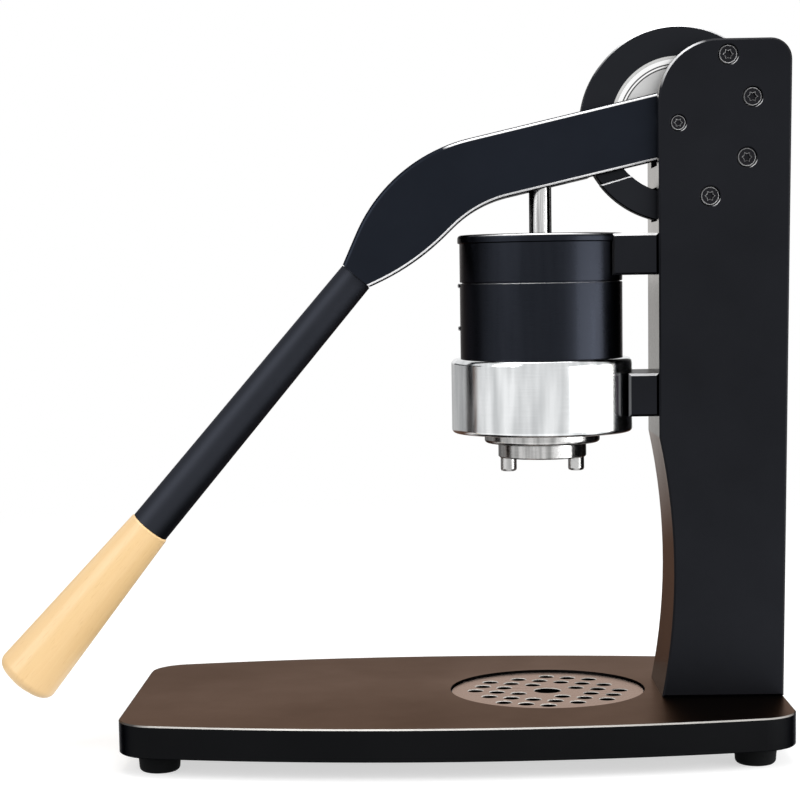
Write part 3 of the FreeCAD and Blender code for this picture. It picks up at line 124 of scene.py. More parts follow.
def range_node(tree, place, value, low, high, to_low=0.0, to_high=1.0, smooth=False):
    inputs = {"Value": value, "From Min": low, "From Max": high, "To Min": to_low, "To Max": to_high}
    kind = "SMOOTHSTEP" if smooth else "LINEAR"
    return add_node(tree, "ShaderNodeMapRange", place, inputs, interpolation_type=kind).outputs["Result"]


def mix_colour(tree, place, factor, first, second):
    inputs = {0: factor, 6: first, 7: second}
    return add_node(tree, "ShaderNodeMix", place, inputs, data_type="RGBA").outputs[2]


def noise_node(tree, place, vector, scale, detail, roughness=0.5):
    inputs = {"Vector": vector, "Scale": scale, "Detail": detail, "Roughness": roughness}
    return add_node(tree, "ShaderNodeTexNoise", place, inputs).outputs["Fac"]


def mapping_node(tree, place, vector, **changes):
    node = add_node(tree, "ShaderNodeMapping", place, {"Vector": vector})
    feed_all(tree, node.inputs, **changes)
    return node.outputs["Vector"]


def coordinates(tree, place):
    return add_node(tree, "ShaderNodeTexCoord", place).outputs


def split_vector(tree, place, vector):
    return add_node(tree, "ShaderNodeSeparateXYZ", place, {0: vector}).outputs


def join_vector(tree, place, **parts):
    return add_node(tree, "ShaderNodeCombineXYZ", place, parts).outputs[0]


def new_group(name, inputs, outputs):
    """An empty node group: labelled inputs with their defaults, and outputs that are numbers."""
    group = bpy.data.node_groups.new(name, "ShaderNodeTree")
    for label, default in inputs.items():
        kind = "NodeSocketVector" if isinstance(default, tuple) else "NodeSocketFloat"
        socket = group.interface.new_socket(name=label, in_out="INPUT", socket_type=kind)
        socket.default_value = default
    for label in outputs:
        group.interface.new_socket(name=label, in_out="OUTPUT", socket_type="NodeSocketFloat")
    given = add_node(group, "NodeGroupInput", (-1500, 0)).outputs
    result = add_node(group, "NodeGroupOutput", (850, 0)).inputs
    return group, given, result


def use_group(tree, group, place, **values):
    node = add_node(tree, "ShaderNodeGroup", place, node_tree=group)
    feed_all(tree, node.inputs, **values)
    return node.outputs


# ---------------------------------------------------------------- shared effects
def make_chamfer_wear_and_highlight():
    """Bright edges round a flat face, partly rubbed bare metal and partly a painted highlight, strongest
    on one or two sides of it.

    A chamfer is found by its tilt, which is 1 on the flat face and 0 on the faces round it.
    """
    band_fade_low, band_fade_high = 0.04, 0.02
    second_side_range = (0.985, 0.998)
    group, given, result = new_group(
        "chamfer_wear_and_highlight",
        {"Face Axis": UPRIGHT, "Far Side": -1.0, "Band Low": 0.52, "Band High": 0.82,
         "Rubbed Side": LEVEL, "Rub Start": -0.2, "Rub End": 0.85, "Second Side": (0.0, 0.0, 0.0),
         "Evenness": 0.5, "Amount": 1.0, "Breakup": 0.35},
        ("Mask",))
    coords = coordinates(group, (-1300, -100))
    across = vector_node(group, "DOT_PRODUCT", (-1100, 200), coords["Normal"], given["Face Axis"])
    far = math_node(group, "MULTIPLY", (-900, 120), across, given["Far Side"])
    tilt = math_node(group, "MAXIMUM", (-720, 200), across, far)
    above = math_node(group, "SUBTRACT", (-540, 300), tilt, given["Band Low"])
    below = math_node(group, "SUBTRACT", (-540, 100), given["Band High"], tilt)
    chamfer = math_node(group, "MULTIPLY", (-180, 200),
                        range_node(group, (-360, 300), above, -band_fade_low, band_fade_low),
                        range_node(group, (-360, 100), below, -band_fade_high, band_fade_high))

    # the normal without its part along the axis points to the side that the edge is on
    along = vector_node(group, "SCALE", (-900, -60), given["Face Axis"], across)
    outward = vector_node(group, "SUBTRACT", (-720, -60), coords["Normal"], along)
    outward = vector_node(group, "NORMALIZE", (-540, -60), outward)
    # the painted highlight is strongest where the edge faces the highlight side
    facing = vector_node(group, "DOT_PRODUCT", (-360, -60), outward, given["Rubbed Side"])
    side = range_node(group, (-180, -60), facing, given["Rub Start"], given["Rub End"])
    facing = vector_node(group, "DOT_PRODUCT", (-360, -260), outward, given["Second Side"])
    second = range_node(group, (-180, -260), facing, *second_side_range)
    side = math_node(group, "MAXIMUM", (-20, -100), side, second)
    rest = math_node(group, "SUBTRACT", (-20, -260), 1.0, given["Evenness"])
    side = math_node(group, "MULTIPLY", (130, -60), side, rest)
    side = math_node(group, "ADD", (280, -60), side, given["Evenness"])

    noise = noise_node(group, (-360, -460), coords["Object"], scale=60.0, detail=4.0)
    broken = math_node(group, "MULTIPLY", (-180, -460), noise, given["Breakup"])
    kept = math_node(group, "SUBTRACT", (-20, -460), 1.0, broken)
    mask = math_node(group, "MULTIPLY", (130, 200), chamfer, kept)
    mask = math_node(group, "MULTIPLY", (420, 100), mask, side)
    mask = math_node(group, "MULTIPLY", (560, 100), mask, given["Amount"], clamp=True)
    feed_all(group, result, Mask=mask)
    return group


def make_satin_grain():
    """Fine blasted grain with faint scratches and handling marks."""
    group, given, result = new_group(
        "satin_grain",
        {"Roughness": 0.35, "Variation": 0.08, "Grain Scale": 2600.0},
        ("Roughness", "Height", "Tone"))
    here = coordinates(group, (-900, -200))["Object"]
    fine = noise_node(group, (-600, 300), here, given["Grain Scale"], detail=3.0)
    broad = noise_node(group, (-600, 0), here, scale=9.0, detail=5.0, roughness=0.6)
    drawn_out = mapping_node(group, (-750, -300), here, Rotation=(0.4, 0.9, 0.3),
                             Scale=(26.0, 900.0, 500.0))
    scratch = noise_node(group, (-600, -300), drawn_out, scale=1.0, detail=2.0)
    swing = range_node(group, (-350, 0), broad, *NOISE_SPAN, -1.0, 1.0)
    swing = math_node(group, "MULTIPLY", (-150, 0), swing, given["Variation"])
    rough = math_node(group, "ADD", (50, 0), swing, given["Roughness"], clamp=True)
    marks = range_node(group, (-350, -300), scratch, 0.68, 0.8, 0.0, -0.25)
    height = math_node(group, "ADD", (50, 300), fine, marks)
    tone = range_node(group, (50, -200), broad, *NOISE_SPAN)
    feed_all(group, result, Roughness=rough, Height=height, Tone=tone)
    return group


def make_turned_lines():
    """Tool lines round an axis parallel to Z: level on the side, in circles on the end faces.

    Streaks are broad soft patches that change with the angle round the axis.
    """
    drift_per_radian = 0.0006
    streaks_per_radian, streaks_per_metre = 8.0, 22.0
    group, given, result = new_group(
        "turned_lines",
        {"Axis Place": (0.0, 0.0, 0.0), "Pitch Scale": 9000.0, "Lines": 1.0, "Streaks": 0.5},
        ("Height", "Shade"))
    here = coordinates(group, (-1100, -100))["Object"]
    centred = vector_node(group, "SUBTRACT", (-900, -150), here, given["Axis Place"])
    parts = split_vector(group, (-720, -150), centred)
    x_square = math_node(group, "MULTIPLY", (-540, 0), parts["X"], parts["X"])
    y_square = math_node(group, "MULTIPLY", (-540, -150), parts["Y"], parts["Y"])
    total = math_node(group, "ADD", (-380, -60), x_square, y_square)
    radius = math_node(group, "SQRT", (-220, -60), total)
    run = math_node(group, "ADD", (-60, -60), radius, parts["Z"])
    angle = math_node(group, "ARCTAN2", (-540, -320), parts["Y"], parts["X"])

    drift = math_node(group, "MULTIPLY", (-60, -320), angle, drift_per_radian)
    spread = join_vector(group, (100, -60), X=run, Y=drift)
    lines = noise_node(group, (260, 60), spread, given["Pitch Scale"], detail=4.0, roughness=0.7)
    off_mean = math_node(group, "SUBTRACT", (430, 60), lines, 0.5)
    lined = math_node(group, "MULTIPLY", (560, 60), off_mean, given["Lines"])
    lined = math_node(group, "ADD", (690, 60), lined, 0.5)

    round_axis = math_node(group, "MULTIPLY", (-60, -450), angle, streaks_per_radian)
    along_run = math_node(group, "MULTIPLY", (-60, -560), run, streaks_per_metre)
    spread = join_vector(group, (100, -320), X=round_axis, Y=along_run)
    streak = noise_node(group, (260, -320), spread, scale=1.0, detail=1.5)
    streaked = range_node(group, (430, -320), streak, 0.35, 0.65, -0.5, 0.5)
    streaked = math_node(group, "MULTIPLY", (560, -320), streaked, given["Streaks"])
    shade = math_node(group, "ADD", (690, -120), lined, streaked, clamp=True)
    feed_all(group, result, Height=lines, Shade=shade)
    return group


def make_turning_rings():
    """Rings round an axis parallel to Y: two grooves, a rim beyond a radius and fine tool marks."""
    rim_fade = 0.00015
    groove_fade = (0.00026, 0.0004)
    group, given, result = new_group(
        "turning_rings",
        {"Axis Place": (0.0, 0.0, 0.0), "Rim": 0.0262, "Outer Groove": 0.02785,
         "Inner Groove": 0.02645, "Pitch Scale": 5000.0},
        ("Rim", "Groove", "Marks"))
    here = coordinates(group, (-900, 0))["Object"]
    centred = vector_node(group, "SUBTRACT", (-720, 0), here, given["Axis Place"])
    flat = vector_node(group, "MULTIPLY", (-540, 0), centred, (1.0, 0.0, 1.0))
    radius = vector_node(group, "LENGTH", (-360, 0), flat)
    beyond = math_node(group, "SUBTRACT", (-180, 100), radius, given["Rim"])
    rim = range_node(group, (0, 100), beyond, -rim_fade, rim_fade)
    near = []
    for height, label in ((300, "Outer Groove"), (460, "Inner Groove")):
        off = math_node(group, "SUBTRACT", (-180, height), radius, given[label])
        off = math_node(group, "ABSOLUTE", (-30, height), off)
        near.append(range_node(group, (130, height), off, *groove_fade, 1.0, 0.0))
    groove = math_node(group, "MAXIMUM", (320, 380), *near)
    outwards = join_vector(group, (-180, -150), X=radius)
    marks = noise_node(group, (0, -150), outwards, given["Pitch Scale"], detail=3.0)
    feed_all(group, result, Rim=rim, Groove=groove, Marks=marks)
    return group


CHAMFER_WEAR_AND_HIGHLIGHT = make_chamfer_wear_and_highlight()
SATIN_GRAIN = make_satin_grain()
TURNED_LINES = make_turned_lines()
TURNING_RINGS = make_turning_rings()


# ---------------------------------------------------------------- materials
def empty_material(name):
    material = bpy.data.materials.new(name)
    material.use_nodes = True
    material.node_tree.nodes.clear()
    return material, material.node_tree


def new_material(name):
    material, tree = empty_material(name)
    shader = add_node(tree, "ShaderNodeBsdfPrincipled", (300, 0))
    add_node(tree, "ShaderNodeOutputMaterial", (600, 0), {"Surface": shader.outputs["BSDF"]})
    return material, tree, shader.inputs


def bump_node(tree, height, strength, distance):
    inputs = {"Strength": strength, "Distance": distance, "Height": height}
    return add_node(tree, "ShaderNodeBump", (60, -300), inputs).outputs["Normal"]


def anodised(name, face_axis, roughness=0.34, black=(0.0155, 0.0165, 0.0195), edge=(0.42, 0.42, 0.43),
             grazing=(0.42, 0.41, 0.41), upward_reflection_tint=None, side_rough=None, matt_edge=False, **edge_settings):
    """Black anodised aluminium with bright edges, partly rubbed metal and partly painted highlight;
    grazing is its tint at a flat angle.

    Faces that look up can have their own tint, a painted brownish sheen; faces round the flat one their
    own roughness;
    and the bright edges, partly painted highlight, can be matt.
    """
    material, tree, shader = new_material(name)
    grain = use_group(tree, SATIN_GRAIN, (-400, -200), Roughness=roughness, Variation=0.05)
    # bright edges: partly rubbed metal, partly painted highlight on the highlight side
    edge_wear_and_highlight = use_group(tree, CHAMFER_WEAR_AND_HIGHLIGHT, (-400, 200), Face_Axis=face_axis, **edge_settings)["Mask"]
    lighter = tuple(part * TONE_SWING for part in black)
    colour = mix_colour(tree, (-150, 300), grain["Tone"], black, lighter)
    colour = mix_colour(tree, (60, 300), edge_wear_and_highlight, colour, edge)
    rough = grain["Roughness"]
    if side_rough:
        normal = coordinates(tree, (-900, -400))["Normal"]
        across = vector_node(tree, "DOT_PRODUCT", (-700, -400), normal, face_axis)
        flat = math_node(tree, "ABSOLUTE", (-520, -400), across)
        change = range_node(tree, (-350, -400), flat, 0.2, 0.6, side_rough - roughness, 0.0)
        rough = math_node(tree, "ADD", (-100, -200), rough, change)
    # painted brownish sheen: faces that look up get a tint of their own on their reflection
    if upward_reflection_tint:
        normal = coordinates(tree, (-900, 0))["Normal"]
        rise = split_vector(tree, (-700, 0), normal)["Z"]
        rise = range_node(tree, (-520, 0), rise, 0.6, 0.95)
        grazing = mix_colour(tree, (60, 60), rise, grazing, upward_reflection_tint)
    metallic = range_node(tree, (60, -60), edge_wear_and_highlight, 0.0, 1.0, 1.0, MATT_METALLIC) if matt_edge else 1.0
    feed_all(tree, shader, Base_Color=colour, Roughness=rough, Metallic=metallic, Specular_Tint=grazing,
             Normal=bump_node(tree, grain["Height"], strength=0.12, distance=GRAIN_DEPTH))
    return material


def turned_metal(name, axis_place, dark, light, rough=(0.12, 0.3), pitch=9000.0, lines=1.0,
                 streaks=0.5, bump=0.12, tint=PLAIN_WHITE, edge=None, **edge_settings):
    """Metal turned on a lathe about a vertical axis; its edges can carry bright rubbed metal and a
    painted highlight.
    """
    material, tree, shader = new_material(name)
    turned = use_group(tree, TURNED_LINES, (-450, 0), Axis_Place=axis_place, Pitch_Scale=pitch,
                       Lines=lines, Streaks=streaks)
    colour = mix_colour(tree, (-150, 200), turned["Shade"], dark, light)
    if edge:
        # bright edges: partly rubbed metal, partly painted highlight on the highlight side
        edge_wear_and_highlight = use_group(tree, CHAMFER_WEAR_AND_HIGHLIGHT, (-400, 400), Face_Axis=LEVEL, **edge_settings)["Mask"]
        colour = mix_colour(tree, (60, 300), edge_wear_and_highlight, colour, edge)
    roughness = range_node(tree, (-150, -60), turned["Shade"], 0.2, 0.8, *rough)
    feed_all(tree, shader, Base_Color=colour, Roughness=roughness, Metallic=1.0, Specular_Tint=tint,
             Normal=bump_node(tree, turned["Height"], bump, TOOL_DEPTH))
    return material


def brushed_metal(name, dark, light, turn=0.0, tint=PLAIN_WHITE, hole_shade=None):
    """Metal ground in one direction, along X or turned about Z.

    Drilled holes in a level plate can have walls painted dark as shade and rims with a painted bright,
    matt highlight.
    """
    rim_rise, rim_metallic = 0.7, 0.2
    material, tree, shader = new_material(name)
    coords = coordinates(tree, (-900, 0))
    drawn_out = mapping_node(tree, (-700, 0), coords["Object"], Rotation=(0.0, 0.0, turn),
                             Scale=(60.0, 2400.0, 2400.0))
    streak = noise_node(tree, (-450, 0), drawn_out, scale=1.0, detail=4.0)
    colour = mix_colour(tree, (-150, 200), streak, dark, light)
    metallic = 1.0
    if hole_shade:
        # painted shade: the hole walls are coloured dark
        rise = split_vector(tree, (-450, 350), coords["Normal"])["Z"]
        rise = math_node(tree, "ABSOLUTE", (-280, 350), rise)
        wall_shade = range_node(tree, (-120, 350), rise, 0.1, 0.4, 1.0, 0.0)
        colour = mix_colour(tree, (60, 300), wall_shade, colour, hole_shade)
        # painted highlight: the sloping rims of the holes are bright and matt
        off_slope = math_node(tree, "SUBTRACT", (-280, 700), rise, rim_rise)
        off_slope = math_node(tree, "ABSOLUTE", (-120, 700), off_slope)
        rim = range_node(tree, (60, 700), off_slope, 0.1, 0.22, 1.0, 0.0)
        colour = mix_colour(tree, (240, 500), rim, colour, HOLE_RIM_HIGHLIGHT)
        metallic = range_node(tree, (240, 700), rim, 0.0, 1.0, 1.0, rim_metallic)
    roughness = range_node(tree, (-150, -60), streak, *NOISE_SPAN, 0.2, 0.34)
    feed_all(tree, shader, Base_Color=colour, Roughness=roughness, Metallic=metallic, Specular_Tint=tint,
             Normal=bump_node(tree, streak, strength=0.1, distance=TOOL_DEPTH))
    return material


def journal_steel(name):
    """Flat ground face with two grooves painted dark as shade and a polished rim round them."""
    ground_dark, ground_light = (0.66, 0.66, 0.66), (0.74, 0.74, 0.735)
    polished, shadow = (0.98, 0.98, 0.98), (0.09, 0.09, 0.09)
    material, tree, shader = new_material(name)
    rings = use_group(tree, TURNING_RINGS, (-450, 0), Axis_Place=PIVOT)
    face = mix_colour(tree, (-250, 200), rings["Marks"], ground_dark, ground_light)
    colour = mix_colour(tree, (-80, 200), rings["Rim"], face, polished)
    # painted shade darkens the two grooves
    colour = mix_colour(tree, (90, 200), rings["Groove"], colour, shadow)
    roughness = range_node(tree, (0, -60), rings["Rim"], 0.0, 1.0, 0.42, 0.2)
    feed_all(tree, shader, Base_Color=colour, Roughness=roughness, Metallic=1.0,
             Normal=bump_node(tree, rings["Marks"], strength=0.1, distance=TOOL_DEPTH))
    return material


def rubber(name, colour, roughness, sheen_level):
    """Dull rubber with a coarse grain and lighter, handled patches."""
    swing, lift = 1.8, 0.004
    material, tree, shader = new_material(name)
    grain = use_group(tree, SATIN_GRAIN, (-400, 0), Roughness=roughness, Variation=0.12,
                      Grain_Scale=1500.0)
    lighter = tuple(part * swing + lift for part in colour)
    feed_all(tree, shader, Base_Color=mix_colour(tree, (-100, 200), grain["Tone"], colour, lighter),
             Roughness=grain["Roughness"], Specular_IOR_Level=sheen_level,
             Normal=bump_node(tree, grain["Height"], strength=0.35, distance=RUBBER_DEPTH))
    return material


def wood(name, pale, deep, pore):
    """Fine-grained wood, its fibres along the grip, under a thin clear coat, with a faint painted glow
    of its own colour.
    """
    material, tree, shader = new_material(name)
    here = coordinates(tree, (-1300, 0))["Object"]
    centred = vector_node(tree, "SUBTRACT", (-1120, 0), here, TUBE_START + TUBE_AXIS * GRIP_START)
    lean = -math.atan2(-TUBE_AXIS.x, -TUBE_AXIS.z)
    in_grip = mapping_node(tree, (-940, 0), centred, Rotation=(0.0, lean, 0.0))

    drawn_out = mapping_node(tree, (-740, 200), in_grip, Scale=(900.0, 900.0, 26.0))
    fibres = noise_node(tree, (-540, 200), drawn_out, scale=1.0, detail=6.0)
    off_heart = mapping_node(tree, (-740, -100), in_grip, Location=(0.35, 0.12, 0.0),
                             Scale=(34.0, 16.0, 1.6))
    ring_values = {"Vector": off_heart, "Scale": 3.2, "Distortion": 2.4, "Detail": 3.0,
                   "Detail Scale": 0.8}
    rings = add_node(tree, "ShaderNodeTexWave", (-540, -100), ring_values, wave_type="RINGS",
                     rings_direction="Z", wave_profile="SAW").outputs["Fac"]
    drawn_out = mapping_node(tree, (-740, -420), in_grip, Scale=(1500.0, 1500.0, 150.0))
    pores = noise_node(tree, (-540, -420), drawn_out, scale=1.0, detail=1.0)
    pores = range_node(tree, (-350, -420), pores, 0.62, 0.74)

    ringed = range_node(tree, (-420, 60), rings, 0.0, 1.0, 0.0, 0.22)
    colour = mix_colour(tree, (-300, 250), ringed, pale, deep)
    streaks = range_node(tree, (-300, 60), fibres, 0.3, 0.75, 0.0, 0.3)
    colour = mix_colour(tree, (-100, 250), streaks, colour, deep)
    pored = math_node(tree, "MULTIPLY", (-150, -420), pores, 0.25)
    colour = mix_colour(tree, (80, 250), pored, colour, pore)
    height = math_node(tree, "SUBTRACT", (-100, -300), fibres, pores)
    # painted light: the grip glows faintly in its own colour, which brightens it evenly
    feed_all(tree, shader, Base_Color=colour, Emission_Color=colour, Emission_Strength=0.15,
             Roughness=range_node(tree, (0, -60), fibres, *NOISE_SPAN, 0.34, 0.46),
             Coat_Weight=0.25, Coat_Roughness=0.22,
             Normal=bump_node(tree, height, strength=0.2, distance=FIBRE_DEPTH))
    return material


# column, bearing and base
# edge colours paint bright edges, partly rubbed metal and partly painted highlight on the given side;
# the screws' bright matt rims too
PLATE_BLACK = anodised("plate_black", UPRIGHT, roughness=0.44, black=PLATE_TONE, edge=(0.62, 0.62, 0.63),
                       grazing=WARM_SHEEN, side_rough=0.2, Rubbed_Side=(-0.707, 0.0, 0.707),
                       Rub_Start=0.84, Rub_End=0.99, Evenness=0.0)
CORE_BLACK = anodised("core_black", UPRIGHT, roughness=0.5, black=PLATE_TONE, grazing=WARM_SHEEN,
                      side_rough=0.2, Amount=0.0)
RING_BLACK = anodised("ring_black", UPRIGHT, roughness=0.36, edge=(0.75, 0.75, 0.76),
                      grazing=(0.1, 0.1, 0.1), Rubbed_Side=(0.2, 0.0, 0.98), Rub_Start=0.3, Evenness=0.0)
# the base's top faces get a painted brownish sheen
BASE_BLACK = anodised("base_black", LEVEL, black=(0.0055, 0.0057, 0.0062), edge=(0.62, 0.6, 0.57),
                      grazing=(0.42, 0.42, 0.43), upward_reflection_tint=(0.75, 0.585, 0.505),
                      Rubbed_Side=(0.3, -0.95, 0.0), Rub_Start=0.6, Rub_End=0.95, Evenness=0.15,
                      Far_Side=0.0, Band_Low=0.6, Band_High=0.8)
BRACKET_BLACK = anodised("bracket_black", UPRIGHT, black=PLATE_TONE, edge=(0.7, 0.7, 0.71),
                         Rubbed_Side=(-0.3, 0.0, 0.95), Rub_Start=0.1, Evenness=0.0)
SCREW_BLACK = anodised("screw_black", UPRIGHT, roughness=0.3, black=(0.014, 0.014, 0.016),
                       edge=(0.95, 0.95, 0.96), grazing=(0.6, 0.6, 0.6), Rubbed_Side=(0.3, 0.0, -0.95),
                       Evenness=0.7, Amount=1.2, Breakup=0.6, matt_edge=True)
FOOT_RUBBER = rubber("foot_rubber", (0.003, 0.0033, 0.0036), 0.75, 0.05)

# lever
# the arm's edge colour paints the bright lines along its edges, partly painted highlight
ARM_BLACK = anodised("arm_black", UPRIGHT, roughness=0.36, black=(0.0112, 0.0133, 0.0185),
                     edge=(0.95, 0.95, 0.96), grazing=(0.3, 0.3, 0.31), Band_Low=0.66, Band_High=0.93,
                     Rubbed_Side=(0.15, 0.0, -0.989), Rub_Start=0.68, Rub_End=0.78,
                     Second_Side=(-0.216, 0.0, 0.976), Evenness=0.0, Amount=1.5, Breakup=0.05,
                     matt_edge=True)
TUBE_BLACK = anodised("tube_black", UPRIGHT, roughness=0.5, black=(0.022, 0.024, 0.03),
                      grazing=(0.6, 0.6, 0.62), Amount=0.0)
JOURNAL_STEEL = journal_steel("journal_steel")
PALE_WOOD = wood("pale_wood", pale=(0.75, 0.52, 0.26), deep=(0.71, 0.46, 0.213),
                 pore=(0.57, 0.335, 0.135))

# brew group, piston and tray
# the sleeves' edge colour paints the bright line along the lip and the seam, a painted highlight
SLEEVE_BLACK = turned_metal("sleeve_black", BREW, (0.0112, 0.013, 0.0175), (0.019, 0.021, 0.027),
                            rough=(0.24, 0.36), streaks=0.2, bump=0.06, tint=(0.5, 0.48, 0.47),
                            edge=(0.85, 0.85, 0.86), Far_Side=0.0, Band_Low=0.45, Band_High=0.78,
                            Rubbed_Side=(0.09, -0.996, 0.0), Rub_Start=0.35, Rub_End=0.97,
                            Evenness=0.0, Amount=1.3, Breakup=0.15)
COLLAR_METAL = turned_metal("collar_metal", BREW, (0.5, 0.515, 0.525), (0.84, 0.855, 0.865),
                            rough=(0.1, 0.2), pitch=3200.0, lines=0.45, streaks=0.7, bump=0.05)
STAINLESS_TURNED = turned_metal("stainless_turned", BREW, (0.27, 0.27, 0.265), (0.58, 0.575, 0.57),
                                rough=(0.12, 0.26), pitch=4000.0, streaks=0.8, tint=(0.35, 0.35, 0.35))
ROD_STEEL = turned_metal("rod_steel", BREW, (0.34, 0.34, 0.34), (0.84, 0.84, 0.835), rough=(0.08, 0.18),
                         streaks=0.9, bump=0.05, tint=(0.02, 0.02, 0.02))
# painted shade: the drip cup is coloured near black so it reads as the shade under the grate
CUP_SHADE_BLACK = turned_metal("cup_shade_black", TRAY, (0.003, 0.003, 0.003), (0.006, 0.006, 0.006),
                         rough=(0.5, 0.65), tint=(0.05, 0.05, 0.05))
GRATE_STEEL = brushed_metal("grate_steel", (0.27, 0.225, 0.205), (0.44, 0.375, 0.34), turn=0.36,
                            tint=(0.72, 0.58, 0.51), hole_shade=(0.004, 0.004, 0.004))
SEAL_RUBBER = rubber("seal_rubber", (0.018, 0.018, 0.019), 0.5, 0.4)

# inner parts
GROUND_STEEL = brushed_metal("ground_steel", (0.56, 0.56, 0.55), (0.7, 0.7, 0.69))
BRONZE = brushed_metal("bronze", (0.42, 0.26, 0.1), (0.62, 0.42, 0.2))

FINISHES = {
    PLATE_BLACK: ("column_plate_front", "column_plate_rear"),
    CORE_BLACK: ("column_core",),
    RING_BLACK: ("bearing_ring",),
    BASE_BLACK: ("base_plate",),
    BRACKET_BLACK: ("upper_bracket", "lower_bracket"),
    SCREW_BLACK: ("column_bolts", "ring_screws_front", "ring_screws_rear", "axle_screws",
                  "bracket_bolts", "bracket_screws", "journal_screws", "sleeve_pins", "foot_screws"),
    FOOT_RUBBER: ("foot_front_left", "foot_back_left", "foot_front_right", "foot_back_right"),
    ARM_BLACK: ("lever_arm",),
    TUBE_BLACK: ("lever_tube",),
    JOURNAL_STEEL: ("bearing_journal",),
    PALE_WOOD: ("wood_grip",),
    SLEEVE_BLACK: ("upper_sleeve", "lower_sleeve"),
    COLLAR_METAL: ("group_collar",),
    STAINLESS_TURNED: ("piston_head", "piston_nut", "cylinder_liner", "basket_carrier", "filter_basket",
                       "spout_body", "spouts", "shower_screen"),
    ROD_STEEL: ("piston_rod",),
    CUP_SHADE_BLACK: ("drip_cup",),
    GRATE_STEEL: ("drip_grate",),
    SEAL_RUBBER: ("piston_seal_lower", "piston_seal_upper", "liner_seal", "group_gasket"),
    GROUND_STEEL: ("bearing_shell", "pivot_axle", "axle_collar", "crosshead_pin",
                   "slot_roller_front", "slot_roller_rear", "tube_stud", "grip_insert", "ring_spacers"),
    BRONZE: ("pivot_bush_front", "pivot_bush_rear"),
}
for finish, names in FINISHES.items():
    for name in names:
        nodes[name].data.materials.clear()
        nodes[name].data.materials.append(finish)


# ---------------------------------------------------------------- floor, light and camera
def seen_mask(tree, rays, place):
    """1 for the rays that show floor and world as white, 0 for those that carry their light."""
    mask = math_node(tree, "MAXIMUM", place, rays["Is Camera Ray"], rays["Is Glossy Ray"])
    return math_node(tree, "MAXIMUM", (place[0] + 150, place[1]), mask, rays["Is Transmission Ray"])


def add_plane(name, size, place, rotation=(0.0, 0.0, 0.0)):
    bpy.ops.object.select_all(action="DESELECT")
    bpy.ops.mesh.primitive_plane_add(size=size, location=place, rotation=rotation)
    plane = bpy.context.object
    plane.name = name
    return plane


def make_floor():
    """White floor with a soft shadow; polished metal sees its rear part dark and brownish."""
    floor = add_plane("floor", FLOOR_SIZE, (0.0, 0.0, 0.0))
    material, tree = empty_material("floor_white")
    rays = add_node(tree, "ShaderNodeLightPath", (-500, -100)).outputs
    here = coordinates(tree, (-500, -400))["Object"]
    seen = seen_mask(tree, rays, (-250, -60))

    # near the press it takes a shadow, further off it turns plain white
    matt = add_node(tree, "ShaderNodeBsdfDiffuse", (0, 100), {"Color": FLOOR_GREY})
    glow = add_node(tree, "ShaderNodeEmission", (200, -100),
                    {"Strength": math_node(tree, "MULTIPLY", (60, -60), seen, FLOOR_GLOW)})
    near = add_node(tree, "ShaderNodeAddShader", (400, 0), {0: matt.outputs[0], 1: glow.outputs[0]})
    distance = vector_node(tree, "LENGTH", (-300, -400), here)
    fade = range_node(tree, (-100, -400), distance, *FLOOR_FADE, smooth=True)
    fade = math_node(tree, "MULTIPLY", (100, -400), fade, seen)
    white = add_node(tree, "ShaderNodeEmission", (400, -200))
    blend = add_node(tree, "ShaderNodeMixShader", (600, 0),
                     {0: fade, 1: near.outputs[0], 2: white.outputs[0]})

    # behind the press reflections see a brown that turns white with the distance
    depth = split_vector(tree, (-300, -700), here)["Y"]
    behind = range_node(tree, (-100, -700), depth, *REAR_START)
    behind = math_node(tree, "MULTIPLY", (100, -700), behind, rays["Is Glossy Ray"])
    shade = range_node(tree, (0, -900), depth, *REAR_FADE)
    shade = mix_colour(tree, (200, -700), shade, REAR_BROWN, PLAIN_WHITE)
    brown = add_node(tree, "ShaderNodeEmission", (400, -500), {"Color": shade})
    reflected = add_node(tree, "ShaderNodeMixShader", (800, 0),
                         {0: behind, 1: blend.outputs[0], 2: brown.outputs[0]})
    add_node(tree, "ShaderNodeOutputMaterial", (1000, 0), {"Surface": reflected.outputs[0]})
    floor.data.materials.append(material)


def make_world():
    """White all round, which lights the press less than it looks."""
    world = bpy.data.worlds.new("studio_white")
    bpy.context.scene.world = world
    world.use_nodes = True
    tree = world.node_tree
    tree.nodes.clear()
    rays = add_node(tree, "ShaderNodeLightPath", (-600, 0)).outputs
    seen = seen_mask(tree, rays, (-400, 0))
    strength = range_node(tree, (-80, 0), seen, 0.0, 1.0, WORLD_LIGHT, 1.0)
    background = add_node(tree, "ShaderNodeBackground", (150, 0),
                          {"Color": PLAIN_WHITE, "Strength": strength})
    add_node(tree, "ShaderNodeOutputWorld", (350, 0), {"Surface": background.outputs[0]})


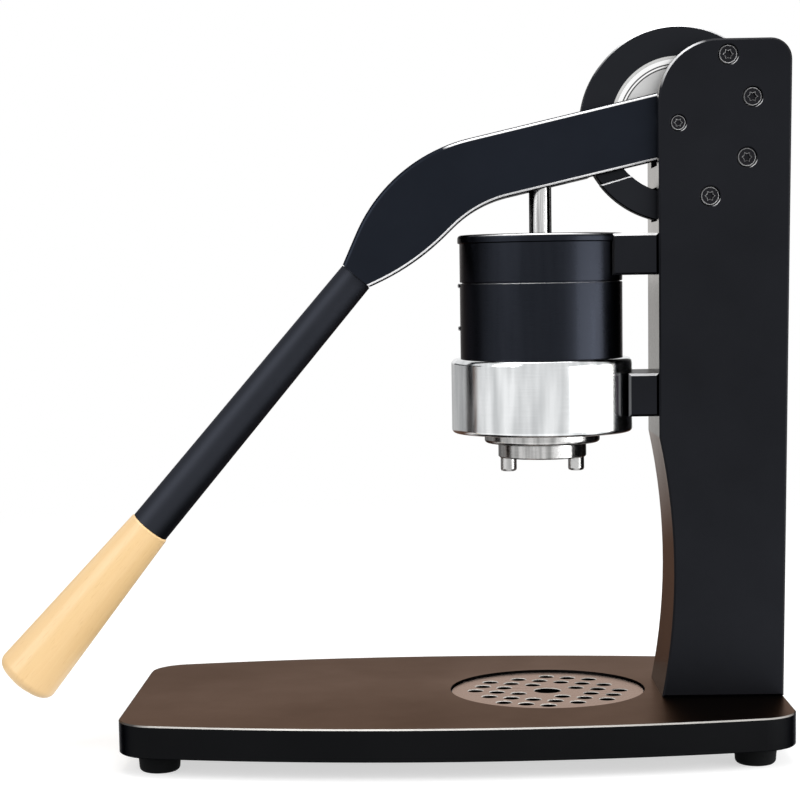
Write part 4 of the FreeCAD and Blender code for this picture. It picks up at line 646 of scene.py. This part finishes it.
def make_lamp(name, place, aim, width, height, watts):
    lamp = bpy.data.lights.new(name, "AREA")
    lamp.shape = "RECTANGLE"
    lamp.size, lamp.size_y = width, height
    lamp.energy = watts
    holder = bpy.data.objects.new(name, lamp)
    bpy.context.scene.collection.objects.link(holder)
    holder.location = place
    direction = Vector(aim) - Vector(place)
    holder.rotation_euler = direction.to_track_quat("-Z", "Y").to_euler()
    holder.visible_glossy = name not in UNMIRRORED_LAMPS


def make_card(name, azimuth, width, level, heights):
    """Studio card round the brew group, seen only in the polished metal."""
    turn = math.radians(azimuth)
    low, high = heights
    place = (BREW[0] + CARD_DISTANCE * math.sin(turn), -CARD_DISTANCE * math.cos(turn), (low + high) / 2)
    card = add_plane(name, 1.0, place, (math.pi / 2, 0.0, turn))
    card.scale = (width, high - low, 1.0)
    material, tree = empty_material(name)
    tint = add_node(tree, "ShaderNodeEmission", (0, 0), {"Strength": level})
    add_node(tree, "ShaderNodeOutputMaterial", (200, 0), {"Surface": tint.outputs[0]})
    card.data.materials.append(material)
    card.visible_camera = False
    card.visible_diffuse = False
    card.visible_shadow = False


def make_camera():
    """A long lens in front of the press, a little above its middle and tilted down; turns in radians."""
    place = Vector((0.02216, -1.0059, 0.22674))
    yaw, pitch, roll = -0.01579, 0.10523, -0.01599
    level_forward = Vector((math.sin(yaw), math.cos(yaw), 0.0))
    forward = level_forward * math.cos(pitch) - Vector(LEVEL) * math.sin(pitch)
    right = Vector((math.cos(yaw), -math.sin(yaw), 0.0))
    up = right.cross(forward)
    right_rolled = right * math.cos(roll) + up * math.sin(roll)
    up_rolled = up * math.cos(roll) - right * math.sin(roll)
    data = bpy.data.cameras.new("product_camera")
    data.sensor_width = 36.0
    data.lens = 93.2
    data.shift_y = 0.12
    data.clip_start = 0.01
    camera = bpy.data.objects.new("product_camera", data)
    bpy.context.scene.collection.objects.link(camera)
    matrix = Matrix((right_rolled, up_rolled, -forward)).transposed().to_4x4()
    matrix.translation = place
    camera.matrix_world = matrix
    bpy.context.scene.camera = camera


make_floor()
make_world()
for lamp_values in LAMPS:
    make_lamp(*lamp_values)
for card_values in CARDS:
    make_card(*card_values)
make_camera()
bpy.context.scene.view_settings.view_transform = "Standard"
